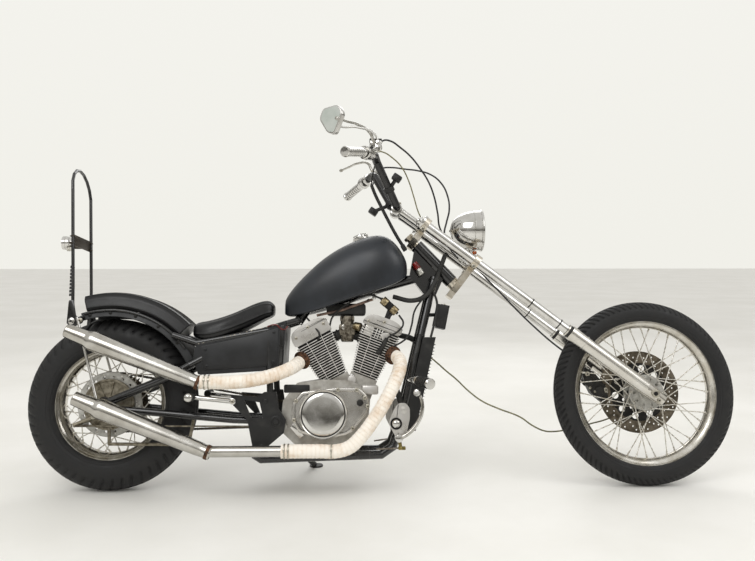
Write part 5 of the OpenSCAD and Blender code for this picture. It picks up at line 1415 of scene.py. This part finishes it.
# Brake panel casting under baked-on dust and oil: olive brown.
panel_alloy = material("oiled_brake_casting", "#8d8676", 0.9, 0.42, 24, "#635c4d", "#a39c8c", (0.38, 0.6), 0.12)
carried(panel_alloy, "rear_brake")
for s in (-1, 1):
    plate = slab([(44, 322), (66, 322), (80, 304), (80, 268), (68, 216), (52, 195), (34, 197), (24, 212), (7, 244),
        (7, 262), (22, 296), (34, 316)], s * 172, s * 184, 7, 2, 3)
    tube = pin(1.5, (46, s * 78, 236), (46, s * 172, 236), 15, sides=36)
    studs = [bolt((60, s * 184, 298), (0, s, 0), 11, 8, silver_paint, False), bolt((47, s * 184, 216), (0, s, 0), 9,
        7, silver_paint, False)]
    # A near-black ring round the foot of the chrome dome: painted shadow under it.
    dark = dress(hollow([(13, 0), (21, 0), (21, 3), (13, 3)], 40, (31, s * 184, 250), (0, s, 0)), shade_and_seam_black)
    dome = dress(turned([(0, 10), (8, 9), (14, 5), (16, 0), (0, 0)], 40, (31, s * 184, 250), (0, s, 0)), chrome)
    stub = pin(1.5, (86, s * 70, 400), (104, s * 130, 402), 10, 12, 28)
    a, b = Vector((104, s * 126, 402)), Vector((152, s * 236, 390))
    way, long = (b - a).normalized(), (b - a).length
    peg = turned([(0, 0), (12, 0), (15, 4), (17, 14), (17, 22), (18.5, 26), (18.5, 30), (17.5, 32), (17.5, long - 14),
        (20, long - 10), (20, long - 4), (16, long - 0.5), (0, long)], 48, a, way)
    bands = joined([hollow([(16, h), (20, h + 0.8), (20, h + 7.2), (16, h + 8)], 40) for h in (36, 50, 64, 78, 92)])
    bands = dress(aim(bands, a, way), moulded_rubber)
    fit([dress([plate, tube], silver_paint)] + studs + [dark, dome, dress([stub, peg], chrome), bands],
        "forward_control_" + ("right" if s < 0 else "left"), "frame", "cast_aluminium",
        *(["forward_controls"] if s < 0 else []))
    arm = along(pipe(lambda n: [(0.1, -1), (5, 0)] + [(8.2 - 2.6 * k / 20, n * k / 20) for k in range(1, 20)] + [(4.6,
        n), (0.1, n + 1)], 24), [(40, s * 204, 200), (70, s * 207, 216), (100, s * 208, 246), (122, s * 208, 292),
        (122, s * 208, 330), (112, s * 207, 356)])
    pivot = pin(2, (40, s * 184.4, 200), (40, s * 211, 200), 15, 14, 32)
    toe = turned([(0, 0), (9, 0), (12.6, 3), (12.6, 38), (9.6, 43), (0, 44)], 36, (108, s * 206, 356),
        (-8, s * 44, 6))
    rings = dress(aim(joined([hollow([(11.5, h), (13.6, h + 0.8), (13.6, h + 4.6), (11.5, h + 5.4)], 32) for h in (7,
        15, 23, 31)]), (108, s * 206, 356), (-8, s * 44, 6)), moulded_rubber)
    clevis = [pin(1.5, (40, s * 196, 200), (46, s * 196, 166), 7, 6, 24), box((50, s * 196, 166), (26, 14, 12), 2)]
    link = rod((52, s * 190, 166), (-40, s * 150, 158), 3, sides=14)
    fit([dress(arm, lever_alloy), dress([pivot, toe], chrome), rings, dress(clevis, cadmium),
        dress(link, bare_steel)], "foot_lever_" + ("right" if s < 0 else "left"), "frame", "chrome_plate",
        *(["foot_levers"] if s < 0 else []))
    hinge = pin(2, (-556, s * 139.9, 330), (-556, s * 167, 330), 12, 12, 32)
    bar = pin(1.5, (-556, s * 155, 330), (-704, s * 158, 346), 9, 9, 28)
    rubber = lathe([(0, 0), (12, 0), (14, 3)] + [p for k in range(9) for p in ((14, 8 + 7 * k), (15, 9 + 7 * k),
        (15, 12.6 + 7 * k), (14, 13.6 + 7 * k))] + [(14, 73), (0, 73)], 36)
    rubber = dress(aim(rubber, (-704, s * 146, 346), (0, s, 0)), moulded_rubber)
    button = turned([(0, 9), (8, 8.4), (13, 5.5), (15, 2), (15, 0), (0, 0)], 40, (-704, s * 218, 346), (0, s, 0))
    fit([dress([hinge, bar, button], chrome), rubber, bolt((-556, s * 167, 330), (0, s, 0), 6, 5, plated_bolt)],
        "passenger_peg_" + ("right" if s < 0 else "left"), "frame", "chrome_plate",
        *(["passenger_pegs"] if s < 0 else []))

ribs = [slab([(rear_x + 34 * math.cos(a), rear_z + 34 * math.sin(a)), (rear_x + 86 * math.cos(a + 0.05),
    rear_z + 86 * math.sin(a + 0.05)), (rear_x + 86 * math.cos(a - 0.05), rear_z + 86 * math.sin(a - 0.05)),
    (rear_x + 34 * math.cos(a - 0.1), rear_z + 34 * math.sin(a - 0.1))], -68, -72, 0,
    0.8) for a in [k * math.tau / 9 for k in range(9)]]
ribs.append(hollow([(84, 0), (92, 0), (92, 4), (86, 5), (84, 4)], 80, (rear_x, -68, rear_z), (0, -1, 0)))
cam = dress(pin(1, (-1075, -78, 272), (-1075, -88, 272), 9, 8, 6), plated_bolt)
coil = joined([hollow(ringed(4.6, 0, 1.1, 6), 20, (-1136 + 4.2 * k, -86, 242), (1, 0, -0.06)) for k in range(11)])
nut = dress(pin(1, (-1150, -86, 242), (-1158, -86, 242), 8, 7, 6), plated_bolt)
fit([dress(ribs, panel_alloy), cam, dress(coil, bare_steel), nut], "brake_panel_details", "frame", "dark_steel")

# Caliper castings: piston covers and pad pins on both halves.
pistons = []
for d in (128, 184):
    for y, way in ((36, -1), (74, 1)):
        pistons.append(turned([(0, 5), (12, 4.6), (19, 3), (21, 0), (21, -1), (0, -1)], 40,
            fork_spot(d, 84 if d > 150 else 92, y), (0, way, 0)))
pins = [bolt(fork_spot(d, 104, 36), (0, -1, 0), 3.6, 4, plated_bolt) for d in (142, 166)]
bleeder = dress(rod(fork_spot(206, 76, 60), fork_spot(222, 78, 60), 4, 3, 6), plated_bolt)
fit([dress(pistons, black_anodised), bleeder] + pins, "caliper_castings", "fork", "dark_steel")

# ---------------------------------------------------------------- side stand
# Forged steel leg with a pressed foot, on a bolt through the left rail.
carried(satin_black, "side_stand")
axis, pivot = Vector((0.1084, 0.4257, 0.8984)), Vector((-335, 146, 122))
head = turned([(0, 7), (9, 7), (10.4, 5), (10.4, 0), (0, 0)], 6, pivot + 15 * axis, axis)
fit([dress(head, plated_bolt)], "stand_pivot_bolt", "frame", "dark_steel")

# ---------------------------------------------------------------- bar wiring
# Taped wiring down the bar to a plug at the neck, the indicator brackets
# clamped on the bar, and a capped flasher can on the frame.
loom = [along(pipe(plain(6.5), 20), [(-52, -24, 1158), (-36, -20, 1118), (-12, -20, 1068), (20, -20, 1004),
    (48, -20, 952), (70, -20, 916)]), along(pipe(plain(3), 12), [(-52, -24, 1158), (-48, -70, 1186),
    (-40, -120, 1222), (-44, -150, 1236)]), along(pipe(plain(3), 12), [(-52, -24, 1158), (-44, 40, 1176),
    (-38, 110, 1212), (-44, 150, 1236)])]
plug = box((74, -20, 908), (16, 22, 26), 2, -30)
clamps = []
for s, at, tip in ((-1, 0.36, (44, 1166)), (1, 0.18, (-42, 1074))):
    low, high = Vector((42, s * 62, 1070)), Vector((-34, s * 128, 1226))
    eye = low.lerp(high, at)
    ring = hollow([(15.8, -10), (20, -10), (21, -8), (21, 8), (20, 10), (15.8, 10)], 40)
    clamps.append(aim(ring, eye, (high - low).normalized()))
    end = Vector((tip[0], eye.y + s * 22, tip[1]))
    way = (end - eye).normalized()
    clamps += [pin(1, eye + 19 * way, end, 7.5, 7.5, 24), box(tuple(end), (36, 28, 26), 4, 35),
        pin(1.5, end - Vector((0, 17, 0)), end + Vector((0, 17, 0)), 8, 8, 20)]
fit([dress(loom + [plug], moulded_rubber), dress(clamps, satin_black)], "bar_wiring_and_brackets", "fork",
    "black_rubber")
flasher = [dress(pin(1.5, (112, -44, 846), (128, -46, 822), 12, 12, 28), lamp_red), dress(pin(1.5, (128, -46, 822),
    (142, -48, 800), 12.6, 12.6, 28), zinc_plate), dress(box((126, -30, 826), (20, 30, 12), 2, 55), satin_black)]
fit(flasher, "flasher_can", "frame", "dark_steel")
